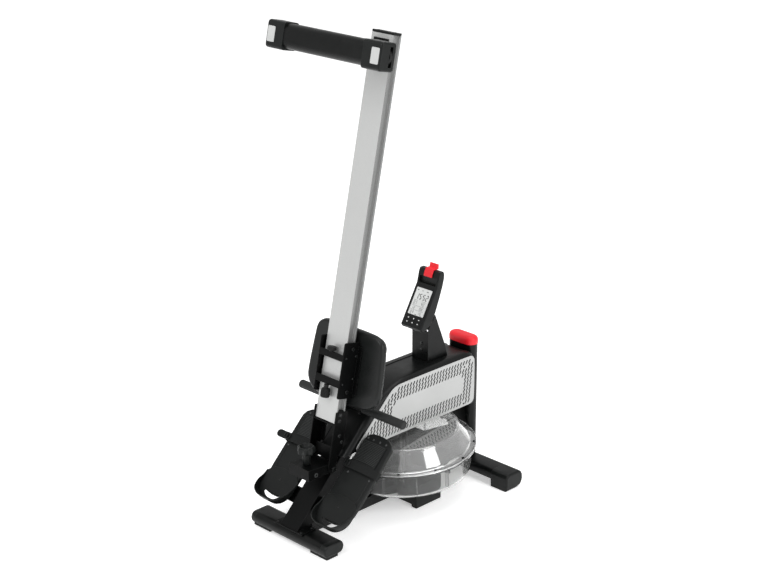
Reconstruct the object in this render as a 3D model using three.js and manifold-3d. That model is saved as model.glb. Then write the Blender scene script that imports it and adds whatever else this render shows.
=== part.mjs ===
// Folding water rowing machine, stored upright: the rail stands folded against the tank housing.
// Millimetres, +Z up. X is the width, +Y runs from the user's end towards the tank.
import * as THREE from "three";
import { mergeVertices } from "three/addons/utils/BufferGeometryUtils.js";
import Module from "manifold-3d";

const wasm = await Module();
wasm.setup();

// ---------------------------------------------------------------- driving dimensions
const MACHINE_Y = -407; // the working coordinates start near the near foot; this centres the footprint
const GAP = 0.3;

const NEAR = { y0: -18, y1: 66, z0: 8.5, z1: 50, r: 19, tube: 154, cap: 176, pad: 96 };
const FAR = { y0: 746, y1: 832, z1: 60.7, tube: 187.7, cap: 260 };
const MID = { half: 127, y0: 444, y1: 565 };
const POST = { half: 39, top: 63, bottom: 6.4, endY: 300, wall: 3 }; // planes z - y = top / bottom, 45 degrees
const BEAM = { half: 38, z0: 22, z1: 62, y0: 56.5, y1: 748.7 };
const COLUMN = { halfX: 56.5, y0: 780, y1: 830, z0: 61, z1: 468 };

const RAIL_Y = 155, RAIL_Z = 376, RAIL_LEAN = 12.146; // lower end of the rail's underside, lean from vertical
const RAIL = { half: 46.5, deep: 36.4, length: 1236, groove0: 6, groove1: 30, grooveDeep: 9 };
const PIVOT = { d: 16.9, s: -149.8 }; // fold pivot in rail coordinates (d across, s along)
const REAR_FOOT = { d0: -249.5, d1: -187, s0: 1143, s1: 1229, half: 247, cap: 171 };

const SEAT = { half: 165, s0: 52, s1: 306, d0: 49, d1: 94 };
const ROLLER = { r: 11.6, s: [108, 248], d: 18 };

const TANK = { y: 516.2, z: 176.8, tilt: 3.5, rim: 243, wall: 224, lid: 187.8, top: 68.7, bottom: -94 };
const FOOTREST = { y: 250, z: 310, angle: 45 };
const STRAP = { s0: -112, s1: -84 };
const HANDLE = { y: 271, z: 396.5, bar: 11, grip: 14.5, half: 238.5, gripFrom: 60 };
const CONSOLE = { y: 545, z: 588, angle: 59.6, half: 47 };

const rad = (a) => (a * Math.PI) / 180;

// ---------------------------------------------------------------- materials
const paint = (color, roughness = 0.55, metalness = 0) =>
  new THREE.MeshStandardMaterial({ color, roughness, metalness });
const powder = () => paint(0x2c2f2e, 0.5, 0.2);
const plastic = () => paint(0x2e3130, 0.6, 0);
const rubber = () => paint(0x1c1d1d, 0.85, 0);
const silver = () => paint(0xd4d4d2, 0.35, 0.8);
const panelGrey = () => paint(0xc9c9c8, 0.45, 0.2);
const red = () => paint(0xe3161f, 0.5, 0);
const steel = () => paint(0x8f9294, 0.3, 1);
const clear = () => {
  const m = paint(0xe6ecec, 0.1, 0);
  m.transparent = true;
  m.opacity = 0.35;
  return m;
};
const foam = () => paint(0x3a3d3c, 0.7, 0);
const webbing = () => paint(0x2f3231, 0.9, 0);
const keyGrey = () => paint(0xe8e8e6, 0.6, 0);

// ---------------------------------------------------------------- solids
function solid(geometry) {
  const g = geometry.index ? geometry.toNonIndexed() : geometry.clone();
  for (const k of Object.keys(g.attributes)) if (k !== "position") g.deleteAttribute(k);
  const m = mergeVertices(g, 1e-4);
  const make = (tris) =>
    new wasm.Manifold(
      new wasm.Mesh({ numProp: 3, vertProperties: m.attributes.position.array, triVerts: tris }),
    );
  const tris = new Uint32Array(m.index.array);
  let s = make(tris);
  if (s.volume() < 0) {
    for (let i = 0; i < tris.length; i += 3) [tris[i + 1], tris[i + 2]] = [tris[i + 2], tris[i + 1]];
    s = make(tris);
  }
  return s;
}
function geometryOf(s) {
  const m = s.getMesh(), n = m.numProp, v = new Float32Array(m.numVert * 3);
  for (let i = 0; i < m.numVert; i++) v.set(m.vertProperties.subarray(i * n, i * n + 3), i * 3);
  const g = new THREE.BufferGeometry()
    .setAttribute("position", new THREE.BufferAttribute(v, 3))
    .setIndex(new THREE.BufferAttribute(new Uint32Array(m.triVerts), 1));
  const flat = g.toNonIndexed();
  flat.computeVertexNormals();
  return flat;
}
const join = (...s) => s.reduce((a, b) => a.add(b));
const cut = (a, ...tools) => tools.reduce((s, t) => s.subtract(t), a);
function mirrored(s) {
  const m = s.getMesh(), n = m.numProp, v = new Float32Array(m.numVert * 3);
  for (let i = 0; i < m.numVert; i++) v.set([-m.vertProperties[i * n], m.vertProperties[i * n + 1], m.vertProperties[i * n + 2]], i * 3);
  const t = new Uint32Array(m.triVerts);
  for (let i = 0; i < t.length; i += 3) [t[i + 1], t[i + 2]] = [t[i + 2], t[i + 1]];
  return new wasm.Manifold(new wasm.Mesh({ numProp: 3, vertProperties: v, triVerts: t }));
}

const poly = (pts) => new THREE.Shape(pts.map(([a, b]) => new THREE.Vector2(a, b)));
function rrect(a0, a1, b0, b1, r, seg = 4) {
  const pts = [];
  const corner = (ca, cb, from) => {
    for (let i = 0; i <= seg; i++) {
      const t = rad(from + (90 * i) / seg);
      pts.push([ca + r * Math.cos(t), cb + r * Math.sin(t)]);
    }
  };
  corner(a1 - r, b1 - r, 0);
  corner(a0 + r, b1 - r, 90);
  corner(a0 + r, b0 + r, 180);
  corner(a1 - r, b0 + r, 270);
  return poly(pts);
}
function extrude(shape, depth, bevel = 0, bevelSegments = 2) {
  return new THREE.ExtrudeGeometry(shape, {
    depth: depth - 2 * bevel, steps: 1, curveSegments: 8,
    bevelEnabled: bevel > 0, bevelThickness: bevel, bevelSize: bevel, bevelOffset: -bevel, bevelSegments,
  }).translate(0, 0, bevel);
}
const axes = (a, b, c) => new THREE.Matrix4().makeBasis(a, b, c);
const X = new THREE.Vector3(1, 0, 0), Y = new THREE.Vector3(0, 1, 0), Z = new THREE.Vector3(0, 0, 1);
// a profile in (y, z) run along X; in (x, y) run along Z; in (x, z) run along Y
const alongX = (shape, x0, x1, bevel, n) => solid(extrude(shape, x1 - x0, bevel, n).applyMatrix4(axes(Y, Z, X)).translate(x0, 0, 0));
const alongZ = (shape, z0, z1, bevel, n) => solid(extrude(shape, z1 - z0, bevel, n).translate(0, 0, z0));
const alongY = (shape, y0, y1, bevel, n) => solid(extrude(shape, y1 - y0, bevel, n).applyMatrix4(axes(X, Z, Y.clone().negate())).translate(0, y1, 0));
const box = (x0, x1, y0, y1, z0, z1) =>
  solid(new THREE.BoxGeometry(x1 - x0, y1 - y0, z1 - z0).translate((x0 + x1) / 2, (y0 + y1) / 2, (z0 + z1) / 2));
function cyl(axis, r, from, to, a, b, seg = 16, r2 = r) {
  const g = new THREE.CylinderGeometry(r2, r, to - from, seg).translate(0, (from + to) / 2, 0); // along +Y, r at from
  if (axis === "x") g.applyMatrix4(axes(Y, X, Z.clone().negate())).translate(0, a, b);
  if (axis === "y") g.translate(a, 0, b);
  if (axis === "z") g.applyMatrix4(axes(X, Z, Y.clone().negate())).translate(a, b, 0);
  return solid(g);
}
// a closed ring profile (radius, height) turned about the local Z axis
const turned = (pts, seg = 40) =>
  solid(new THREE.LatheGeometry(pts.map(([r, h]) => new THREE.Vector2(r, h)), seg).applyMatrix4(axes(X, Z, Y.clone().negate())));
// rings of the same number of points, skinned and capped
function loft(rings) {
  const n = rings[0].length, v = [], t = [];
  for (const ring of rings) for (const p of ring) v.push(...p);
  for (let k = 0; k + 1 < rings.length; k++)
    for (let i = 0; i < n; i++) {
      const a = k * n + i, b = k * n + ((i + 1) % n), c = a + n, d = b + n;
      t.push(a, b, d, a, d, c);
    }
  const cap = (ring, at, flip) => {
    const p0 = new THREE.Vector3(...ring[0]), nrm = new THREE.Vector3();
    for (let i = 0; i < n; i++) {
      const p = ring[i], q = ring[(i + 1) % n];
      nrm.x += (p[1] - q[1]) * (p[2] + q[2]); nrm.y += (p[2] - q[2]) * (p[0] + q[0]); nrm.z += (p[0] - q[0]) * (p[1] + q[1]);
    }
    nrm.normalize();
    const e1 = new THREE.Vector3(...ring[1]).sub(p0).normalize(), e2 = nrm.clone().cross(e1);
    const flat = ring.map((p) => { const w = new THREE.Vector3(...p).sub(p0); return new THREE.Vector2(w.dot(e1), w.dot(e2)); });
    for (const [a, b, c] of THREE.ShapeUtils.triangulateShape(flat, []))
      flip ? t.push(at + a, at + c, at + b) : t.push(at + a, at + b, at + c);
  };
  cap(rings[0], 0, true);
  cap(rings[rings.length - 1], (rings.length - 1) * n, false);
  const g = new THREE.BufferGeometry().setAttribute("position", new THREE.Float32BufferAttribute(v, 3));
  g.setIndex(t);
  return solid(g);
}
// polygon with every edge moved inwards by its own distance
function inset(pts, dist) {
  const n = pts.length;
  let area = 0;
  for (let i = 0; i < n; i++) { const [a, b] = pts[i], [c, d] = pts[(i + 1) % n]; area += a * d - c * b; }
  const s = Math.sign(area);
  const lines = pts.map((p, i) => {
    const q = pts[(i + 1) % n], dx = q[0] - p[0], dy = q[1] - p[1], l = Math.hypot(dx, dy);
    const k = typeof dist === "function" ? dist(i, p, q) : dist;
    return { x: p[0] - (s * dy * k) / l, y: p[1] + (s * dx * k) / l, dx: dx / l, dy: dy / l };
  });
  return pts.map((_, i) => {
    const a = lines[(i + n - 1) % n], b = lines[i], det = a.dx * b.dy - a.dy * b.dx;
    if (Math.abs(det) < 1e-6) return [b.x, b.y];
    const u = ((b.x - a.x) * b.dy - (b.y - a.y) * b.dx) / det;
    return [a.x + a.dx * u, a.y + a.dy * u];
  });
}
// a flat band of the given thickness along a path
function ribbon(path, thick) {
  const left = [], right = [];
  path.forEach((p, i) => {
    const a = path[Math.max(i - 1, 0)], b = path[Math.min(i + 1, path.length - 1)];
    const dx = b[0] - a[0], dy = b[1] - a[1], l = Math.hypot(dx, dy), nx = (-dy / l) * thick / 2, ny = (dx / l) * thick / 2;
    left.push([p[0] + nx, p[1] + ny]); right.unshift([p[0] - nx, p[1] - ny]);
  });
  return poly([...left, ...right]);
}

// ---------------------------------------------------------------- scene graph
const rowing_machine = new THREE.Group();
const machine = new THREE.Group();
machine.position.y = MACHINE_Y;
rowing_machine.add(machine);
const frameAt = (y, z, angle) => {
  const g = new THREE.Group();
  g.position.set(0, y, z);
  g.rotation.x = rad(angle);
  machine.add(g);
  return g;
};
const rail = frameAt(RAIL_Y, RAIL_Z, -RAIL_LEAN); // local x, d (towards the tank), s (up the rail)
const tank = frameAt(TANK.y, TANK.z, TANK.tilt);
const footrest = frameAt(FOOTREST.y, FOOTREST.z, FOOTREST.angle); // local x, up the slope, out of the slope
const panelFace = frameAt(CONSOLE.y, CONSOLE.z, CONSOLE.angle); // local x, up the face, out of the face
function node(name, s, material, group = machine) {
  const m = new THREE.Mesh(geometryOf(s), material);
  m.name = name;
  group.add(m);
}

// ---------------------------------------------------------------- feet and frame
{
  const outer = rrect(NEAR.y0, NEAR.y1, NEAR.z0, NEAR.z1, NEAR.r, 5);
  const inner = rrect(NEAR.y0 + 2.5, NEAR.y1 - 2.5, NEAR.z0 + 2.5, NEAR.z1 - 2.5, NEAR.r - 2.5, 5);
  node("near_foot_tube", cut(alongX(outer, -NEAR.tube, NEAR.tube), alongX(inner, -200, 200)), powder());
  const end = alongX(outer, NEAR.tube - 40, NEAR.cap, 5);
  const cap = join(
    cut(end, box(0, NEAR.tube + GAP, -100, 100, -10, 100)),
    box(NEAR.pad, NEAR.cap - 3, -6, 42, 0, NEAR.z0 - GAP),
    box(NEAR.tube + GAP, NEAR.cap - 3, -6, 42, 0, NEAR.z0 + 6),
  );
  node("near_foot_cap_right", cap, plastic());
  node("near_foot_cap_left", mirrored(cap), plastic());

  const keepOut = alongX(rrect(NEAR.y0 - GAP, NEAR.y1 + GAP, NEAR.z0 - GAP, NEAR.z1 + GAP, NEAR.r + GAP, 5), -60, 60);
  const beam = cut(
    alongY(rrect(-BEAM.half, BEAM.half, BEAM.z0, BEAM.z1, 5, 2), BEAM.y0, BEAM.y1),
    alongY(rrect(-BEAM.half + 2.5, BEAM.half - 2.5, BEAM.z0 + 2.5, BEAM.z1 - 2.5, 3, 2), 0, 900),
    keepOut,
  );
  node("base_beam", beam, powder());

  const far = [[FAR.y0 + 3, 30], [FAR.y0 + 3, 47], [FAR.y0 + 8, 55], [FAR.y0 + 16, 59.5], [FAR.y1 - 18, 59.5], [FAR.y1 - 8, 55], [FAR.y1 - 3, 46], [FAR.y1 - 3, 34], [FAR.y1 - 8, 26.5], [FAR.y1 - 16, 24], [FAR.y0 + 12, 24], [FAR.y0 + 5, 25.5]];
  node("far_foot_tube", cut(alongX(poly(far), -FAR.tube, FAR.tube), alongX(poly(inset(far, 2.5)), -300, 300)), powder());
  const block = [[FAR.y0 + 1, 0], [FAR.y1 - 30, 0], [FAR.y1 - 10, 6], [FAR.y1 - 1.5, 19], [FAR.y1, 30], [FAR.y1 - 0.5, 42], [FAR.y1 - 7, 54], [FAR.y1 - 17, FAR.z1], [FAR.y0 + 20, FAR.z1], [FAR.y0 + 8, 57], [FAR.y0 + 1, 48], [FAR.y0, 30]];
  const farCap = cut(alongX(poly(block), FAR.tube - 40, FAR.cap, 7, 3), box(0, FAR.tube + GAP, 700, 900, -10, 100));
  node("far_foot_cap_right", farCap, plastic());
  node("far_foot_cap_left", mirrored(farCap), plastic());

  // cross foot under the tank, saddled over the beam
  const cradle = cut(
    alongX(poly([[MID.y0, 0], [MID.y1, 0], [MID.y1, 84.6], [MID.y0, 77.2]]), -MID.half, MID.half),
    box(-105, 105, 400, 600, -5, 9),
    box(-BEAM.half - GAP, BEAM.half + GAP, 400, 600, -5, BEAM.z1 + GAP),
  );
  node("mid_foot", cradle, plastic());

  // 45 degree front post, a rectangular tube on a saddle plate
  const p = (y, c) => [y, y + c];
  const outerPost = poly([[NEAR.z1 + GAP - POST.top, NEAR.z1 + GAP], [NEAR.z1 + GAP - POST.bottom, NEAR.z1 + GAP], p(POST.endY, POST.bottom), p(POST.endY, POST.top)]);
  const w = POST.wall * Math.SQRT2;
  const innerPost = poly([p(-40, POST.top - w), p(-40, POST.bottom + w), p(340, POST.bottom + w), p(340, POST.top - w)]);
  const saddle = box(-66, 66, -15, 47, NEAR.z1 + GAP, NEAR.z1 + GAP + 3.4);
  node("front_post", join(cut(alongX(outerPost, -POST.half, POST.half), alongX(innerPost, -36, 36)), saddle), powder());

  // sheet-metal box on the post that takes the fold pivot and the locking screw
  const pin = { y: 140, z: 226 };
  const profile = poly([[38, 214], [150.4, 214], [154, 217.6], [154, 242.1], [38, 251]]);
  const hollow = poly([[41, 190], [151, 190], [151, 239.2], [41, 247.7]]);
  const hingeBox = cut(
    alongX(profile, -46, 46), alongX(hollow, -43, 43),
    cyl("x", 6.3, -50, 50, pin.y, pin.z, 16), cyl("z", 6, 230, 260, 0, 72, 16),
  );
  node("hinge_box", hingeBox, powder());
  node("hinge_pin", join(cyl("x", 6, -55, 55, pin.y, pin.z, 16), cyl("x", 10, 51.8, 58, pin.y, pin.z, 6), cyl("x", 10, -58, -51.8, pin.y, pin.z, 6)), steel());

  // rear column
  const a = COLUMN.halfX, ry = (COLUMN.y1 - COLUMN.y0) / 2;
  const yc = (COLUMN.y0 + COLUMN.y1) / 2;
  const stadium = (half, r) => {
    const pts = [];
    for (let i = 0; i <= 8; i++) { const t = rad(-90 + 22.5 * i); pts.push([half - r + r * Math.cos(t), yc + r * Math.sin(t)]); }
    for (let i = 0; i <= 8; i++) { const t = rad(90 + 22.5 * i); pts.push([-half + r + r * Math.cos(t), yc + r * Math.sin(t)]); }
    return pts;
  };
  node("rear_column", cut(alongZ(poly(stadium(a, ry)), COLUMN.z0, COLUMN.z1), alongZ(poly(stadium(a - 2.5, ry - 2.5)), 0, 600)), powder());
  const steps = [[0, 0], [15, 0], [20.5, 2], [24.5, 5.5], [26.7, 10], [27.5, 15]];
  node("column_cap", loft(steps.map(([h, k]) => stadium(a + 1.5 - k, ry + 1.5 - k).map(([x, y]) => [x, y, COLUMN.z1 + GAP + h]))), red());
}

// ---------------------------------------------------------------- housing
const HOUSING = [[779.5, 266], [779.5, 440], [773, 451], [758, 458], [740, 460], [500, 460], [434, 457], [390, 443], [345, 421.5], [306, 400], [168, 262], [214, 266]];
const rearEdge = (p, q) => p[0] > 779 && q[0] > 779;
const lowEdge = (p, q) => p[1] < 267 && q[1] < 267;
const sideRing = (roll) => inset(HOUSING, (i, p, q) => (rearEdge(p, q) ? roll * 0.1 : lowEdge(p, q) ? roll * 0.15 : roll));
{
  const ring = (pts, x) => pts.map(([y, z]) => [x, y, z]);
  const rolls = [[45.3, 0], [60, 0], [66.5, 2.2], [71.5, 6], [74.8, 10.5], [76, 14]];
  const outer = loft(rolls.map(([x, k]) => ring(sideRing(k), x)));
  const inner = loft([[44, 0], [59, 0], [64.8, 2.2], [69, 6], [72, 10.5], [73, 14]].map(([x, k]) => ring(inset(sideRing(k), 3), x)));
  const shell = cut(outer, inner);
  node("housing_right", shell, plastic());
  node("housing_left", mirrored(shell), plastic());

  // centre band that closes the gap between the two side shells, with the handle rests
  let band = cut(alongX(poly(inset(HOUSING, 2)), -45, 45), alongX(poly(inset(HOUSING, 5)), -46, 46));
  const F = { y: HANDLE.y, z: HANDLE.z };
  const q0 = (F.z - F.y - (94 - 2 * Math.SQRT2)) * Math.SQRT1_2;
  const foot = { y: F.y + q0 * Math.SQRT1_2, z: F.z - q0 * Math.SQRT1_2 };
  const pq = (p, q) => [foot.y + (p - q) * Math.SQRT1_2, foot.z + (p + q) * Math.SQRT1_2];
  const floor = q0 - HANDLE.bar - 1;
  const rest = poly([pq(-16, -2.5), pq(-16, floor - 5), pq(-9, floor), pq(9, floor), pq(12.6, floor + 4), pq(12.6, q0 + 3), pq(17, q0 + 3), pq(19, -2.5)]);
  band = join(band, alongX(rest, 28, 37), alongX(rest, -37, -28));
  band = cut(
    band,
    alongX(poly([[185, 185 + 64.6], [185, 185 + 5], [290, 290 + 5], [290, 290 + 64.6]]), -40, 40), // post
    box(-6, 6, 280, 340, HANDLE.z - 13, HANDLE.z + 13), // strap slot
    cyl("z", 15, 255, 290, 0, 511, 24), // paddle shaft
  );
  node("housing_centre", band, plastic());

  const panel = poly([[747, 269.5], [765, 272], [774, 280], [777, 294], [777, 422], [774, 434], [766, 443], [752, 446.7], [425, 446.7], [398, 442], [376, 433], [328.6, 389], [254, 317.3], [222, 286.5], [217, 277], [224, 270.5], [240, 269.5]]);
  const sidePanel = alongX(panel, 76.3, 78.3);
  node("side_panel_right", sidePanel, panelGrey());
  node("side_panel_left", mirrored(sidePanel), panelGrey());

  // inner channel that ties the post to the column and carries the drive
  const side = poly([[214, 275], [772, 275], [772, 335], [275, 335], [214, 288]]);
  const channel = join(alongX(side, 39.6, 42.6), alongX(side, -42.6, -39.6), box(-42.6, 42.6, 274, 772, 275, 278.5), box(-42.6, 42.6, 769, 772, 275, 335));
  node("drive_frame", cut(channel, cyl("z", 14, 260, 290, 0, 511, 24)), powder());

  // console bracket of bent sheet
  const flange = poly([[590, 458.5], [590, 566], [601, 592], [609, 612], [614, 618.7], [624, 618.7], [671, 504], [684, 458.5]]);
  const bracket = cut(
    join(alongX(flange, 34, 37), alongX(flange, -37, -34), box(-37, 37, 590, 593, 458.5, 566), box(-37, 37, 590, 684, 458.5, 461.5)),
    cyl("x", 4.4, -50, 50, 616, 606, 16),
  );
  node("console_bracket", bracket, powder());
}

// ---------------------------------------------------------------- tank and drive (local: turned about z)
{
  const t = TANK;
  node("tank_bowl", turned([[0, t.bottom], [203, t.bottom], [216, t.bottom + 4], [222.5, t.bottom + 13], [t.wall, t.bottom + 24], [t.wall, -12], [229, -6], [t.rim, -6], [t.rim, -0.2], [220, -0.2], [220, t.bottom + 24], [214, t.bottom + 8], [202, t.bottom + 4], [0, t.bottom + 4]], 40), clear(), tank);
  node("tank_lid", turned([[10.4, t.top - 4], [10.4, t.top], [183, t.top], [t.lid, t.top - 3.5], [190, t.top - 9], [222, 12], [230, 6], [t.rim, 6], [t.rim, 0.2], [221, 0.2], [218, 10], [184, t.top - 10], [10.4, t.top - 4]], 40), clear(), tank);
  // paddle: six blades on a shaft
  let paddle = join(cyl("z", 9.8, -84, 160, 0, 0, 20), cyl("z", 26, -74, -30, 0, 0, 24));
  for (let k = 0; k < 6; k++) {
    const blade = new THREE.BoxGeometry(160, 5, 92).translate(98, 0, -24).rotateZ(rad(60 * k + 12));
    paddle = join(paddle, solid(blade));
  }
  node("paddle", paddle, plastic(), tank);
  node("strap_drum", turned([[10.4, 122], [35, 122], [35, 126], [28, 126], [28, 152], [35, 152], [35, 156], [10.4, 156], [10.4, 122]], 24), plastic(), tank);
}

// ---------------------------------------------------------------- footrests (local: x, s up the slope, n out of it)
{
  const outline = [[81, -60], [81, -6], [88, 12], [102, 22], [125, 25.5], [155, 25.5], [180, 20], [197, 8], [205, -8], [206, -60], [207, -200], [204, -245], [196, -270], [180, -286], [150, -292], [125, -292], [97, -286], [80, -268], [71, -240], [69, -200], [69, -112], [76, -92]];
  const plate = alongZ(poly(outline), -14, 0, 2, 1);
  const pad = alongZ(rrect(88, 184, -80, -6, 4, 2), -2, 3);
  const rightRest = join(plate, pad);
  node("footrest_right", rightRest, plastic(), footrest);
  node("footrest_left", mirrored(rightRest), plastic(), footrest);

  const hat = poly([[150, -14.4], [39.4, -14.4], [39.4, -38.4], [-39.4, -38.4], [-39.4, -14.4], [-150, -14.4], [-150, -18.4], [-43.4, -18.4], [-43.4, -42.4], [43.4, -42.4], [43.4, -18.4], [150, -18.4]]);
  node("footrest_bracket", alongY(hat, -284, -228), powder(), footrest);

  const wall = (d) => {
    const x0 = 61 + d, x1 = 213 - d, s1 = -222 + (d ? 20 : 0), s0 = -318 + d, r = 56 - d, pts = [[x1, s1], [x0, s1]];
    for (let i = 0; i <= 6; i++) { const a = rad(180 + 15 * i); pts.push([x0 + r + r * Math.cos(a), s0 + r + r * Math.sin(a)]); }
    for (let i = 0; i <= 6; i++) { const a = rad(270 + 15 * i); pts.push([x1 - r + r * Math.cos(a), s0 + r + r * Math.sin(a)]); }
    return poly(pts);
  };
  const above = alongX(poly([[-160, 20], [-222, 21], [-246, 27], [-270, 33.9], [-330, 33.9], [-330, 60], [-160, 60]]), 0, 300);
  const cup = cut(alongZ(wall(0), 0.4, 34), alongZ(wall(5), 3.4, 60), above);
  node("heel_cup_right", cup, plastic(), footrest);
  node("heel_cup_left", mirrored(cup), plastic(), footrest);

  const path = [[66.2, -13], [66.2, 1], [71, 7.5], [90, 13], [113, 16.5], [138, 17.5], [163, 16.5], [186, 13], [204, 7.5], [209, 1], [209, -13]];
  const strap = alongY(ribbon(path, 2.4), STRAP.s0, STRAP.s1);
  const mid = (STRAP.s0 + STRAP.s1) / 2;
  node("foot_strap_right", join(strap, cyl("z", 15, 9, 14.5, 84, mid, 20)), webbing(), footrest);
  const tail = alongY(ribbon([[-196, 13], [-212, 11], [-232, 10], [-251, 12]], 2.4), STRAP.s0 + 2, STRAP.s1 - 2);
  node("foot_strap_left", join(mirrored(strap), tail, cyl("z", 15, 9, 15, -196, mid, 20)), webbing(), footrest);
}

// ---------------------------------------------------------------- locking knob
{
  const pts = [];
  for (let i = 0; i < 42; i++) {
    const a = rad((360 * i) / 42), r = 27 + 3 * Math.cos(7 * a);
    pts.push([r * Math.cos(a), 72 + r * Math.sin(a)]);
  }
  const head = alongZ(poly(pts), 287, 313, 4, 2);
  const dish = solid(new THREE.CylinderGeometry(21, 12, 10, 24).rotateX(Math.PI / 2).translate(0, 72, 309.5));
  node("lock_knob", join(cut(head, dish), cyl("z", 12, 250.4, 288, 0, 72, 20, 15), cyl("z", 5, 226, 251, 0, 72, 12)), plastic());
}

// ---------------------------------------------------------------- handle and strap
{
  const h = HANDLE;
  node("handle_bar", cyl("x", h.bar, -233, 233, h.y, h.z, 20), powder());
  const outer = cut(
    solid(extrude(poly(Array.from({ length: 20 }, (_, i) => [h.y + h.grip * Math.cos(rad(18 * i)), h.z + h.grip * Math.sin(rad(18 * i))])), h.half - h.gripFrom + 10, 3.5, 2).applyMatrix4(axes(Y, Z, X)).translate(h.gripFrom - 10, 0, 0)),
    box(0, h.gripFrom, 200, 340, 300, 500),
    cyl("x", h.bar + 0.3, 30, 233.3, h.y, h.z, 20),
  );
  node("grip_right", outer, rubber());
  node("grip_left", mirrored(outer), rubber());

  // strap: an upright ribbon that steps sideways and down to its drum
  const st = [[0, h.y + h.bar + 0.4, h.z], [0, 358, h.z], [30.1, 470, 316.5], [30.1, 508, 316.5]];
  node("drive_strap", loft(st.map(([x, y, z]) => [[x - 1, y, z - 9.5], [x + 1, y, z - 9.5], [x + 1, y, z + 9.5], [x - 1, y, z + 9.5]])), webbing());
}

// ---------------------------------------------------------------- rail body (local: x, d towards the tank, s up the rail)
{
  const r = RAIL, g = r.half - r.grooveDeep;
  const section = [[r.half, 0], [r.half, r.groove0], [g, r.groove0], [g, r.groove1], [r.half, r.groove1], [r.half, r.deep], [-r.half, r.deep], [-r.half, r.groove1], [-g, r.groove1], [-g, r.groove0], [-r.half, r.groove0], [-r.half, 0]];
  const bar = join(
    cut(alongZ(poly(section), 0, r.length), box(-g + 3, g - 3, 3, r.deep - 3, -10, r.length + 10)),
    box(g - 1, g + 6, 9, 27, 80, 94), box(-g - 6, -g + 1, 9, 27, 80, 94), // seat stops in the grooves
  );
  node("rail", bar, silver(), rail);
  node("rail_end_cap", alongZ(rrect(-r.half - 0.5, r.half + 0.5, -0.5, r.deep + 0.5, 3, 2), r.length + GAP, r.length + 8), plastic(), rail);

  // hinge bracket: two arms bolted to the rail's sides, tied by an end plate and lips
  const arm = poly([[-6, 40], [-6, -140], [1, -157], [10, -165], [19, -166], [28, -161], [31, -150], [27, -131], [30, -110], [45, -85], [45, 40]]);
  const arms = (x0, x1) => alongX(arm, x0, x1);
  const tongue = (x0, x1) => box(x0, x1, 7, 29, -4, 44);
  const bracket = cut(
    join(arms(47, 51), arms(-51, -47), box(-48, 48, -4, 43, -6, -2), box(34, 48, 41, 45, -84, -3), box(-48, -34, 41, 45, -84, -3), tongue(38, 48), tongue(-48, -38)),
    cyl("x", 6.3, -60, 60, PIVOT.d, PIVOT.s, 16),
  );
  node("hinge_bracket", bracket, powder(), rail);

  // rear foot with its leg
  const f = REAR_FOOT;
  const tube = rrect(f.d0 + 2.5, f.d1 - 2.5, f.s0 + 5, f.s1 - 3, 22, 5), bore = rrect(f.d0 + 5, f.d1 - 5, f.s0 + 7.5, f.s1 - 5.5, 19.5, 5);
  const leg = join(box(-28, -25, f.d1 - 20, -4, 1158, 1214), box(25, 28, f.d1 - 20, -4, 1158, 1214), box(-28, 28, f.d1 - 20, -4, 1158, 1161), box(-31, 31, -4.3, -0.3, 1148, 1222));
  node("rear_foot_tube", join(cut(alongX(tube, -f.cap + GAP, f.cap - GAP), alongX(bore, -300, 300)), cut(leg, alongX(bore, -300, 300))), powder(), rail);
  const capSolid = cut(
    alongX(rrect(f.d0, f.d1, f.s0, f.s1, 10, 3), f.cap - 30, f.half, 6, 3),
    box(0, f.cap, -400, 0, 1000, 1300),
    box(193, 300, -213, -201.4, 1186 - 30, 1186 + 30),
  );
  node("rear_foot_cap_right", capSolid, plastic(), rail);
  node("rear_foot_cap_left", mirrored(capSolid), plastic(), rail);
  const knurl = [];
  for (let i = 0; i < 48; i++) { const a = rad(7.5 * i), q = i % 2 ? 27 : 26; knurl.push([222 + q * Math.cos(a), 1186 + q * Math.sin(a)]); }
  const wheel = alongY(poly(knurl), -211.8, -202.6);
  node("level_wheel_right", wheel, plastic(), rail);
  node("level_wheel_left", mirrored(wheel), plastic(), rail);

  // seat, carriage, rollers and buffers
  const s = SEAT;
  const edge = [[60, 54], [116, 59], [143, 73], [159, 94], [s.half, 120], [s.half - 11, 262], [148, 285], [133, 299], [108, s.s1]];
  const seat = [[0, s.s0], ...edge, [0, s.s1 + 1], ...edge.map(([x, z]) => [-x, z]).reverse()];
  node("seat_pad", alongY(poly(seat), s.d0, s.d1, 10, 3), foam(), rail);
  const plateR = poly([[-18, 90], [-14, 86], [48.5, 86], [48.5, 270], [-14, 270], [-18, 266]]);
  const carriage = cut(
    join(alongX(plateR, 52, 56), alongX(plateR, -56, -52), box(-56, 56, -18, -14, 122, 146), box(-56, 56, -18, -14, 208, 230), box(-72, 72, 44.5, 48.5, 100, 256)),
    ...[108, 248].flatMap((q) => [cyl("x", 4.4, 50, 60, ROLLER.d, q, 12), cyl("x", 4.4, -60, -50, ROLLER.d, q, 12)]),
  );
  node("seat_carriage", carriage, powder(), rail);
  const names = ["lower", "upper"];
  ROLLER.s.forEach((q, i) => {
    const roller = join(cyl("x", ROLLER.r, 38.4, 46, ROLLER.d, q, 24), cyl("x", 4, 45, 58, ROLLER.d, q, 12), cyl("x", 7, 56.4, 60, ROLLER.d, q, 6));
    node("roller_" + names[i] + "_right", roller, plastic(), rail);
    node("roller_" + names[i] + "_left", mirrored(roller), plastic(), rail);
  });
  node("buffer_lower", join(cyl("z", 14, 79, 108, 0, -18, 20), cyl("z", 8, 100, 121.7, 0, -18, 16)), rubber(), rail);
  node("buffer_upper", join(cyl("z", 16, 236, 246, 0, -18, 20, 15), cyl("z", 7, 230.3, 238, 0, -18, 16)), rubber(), rail);
}

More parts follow.
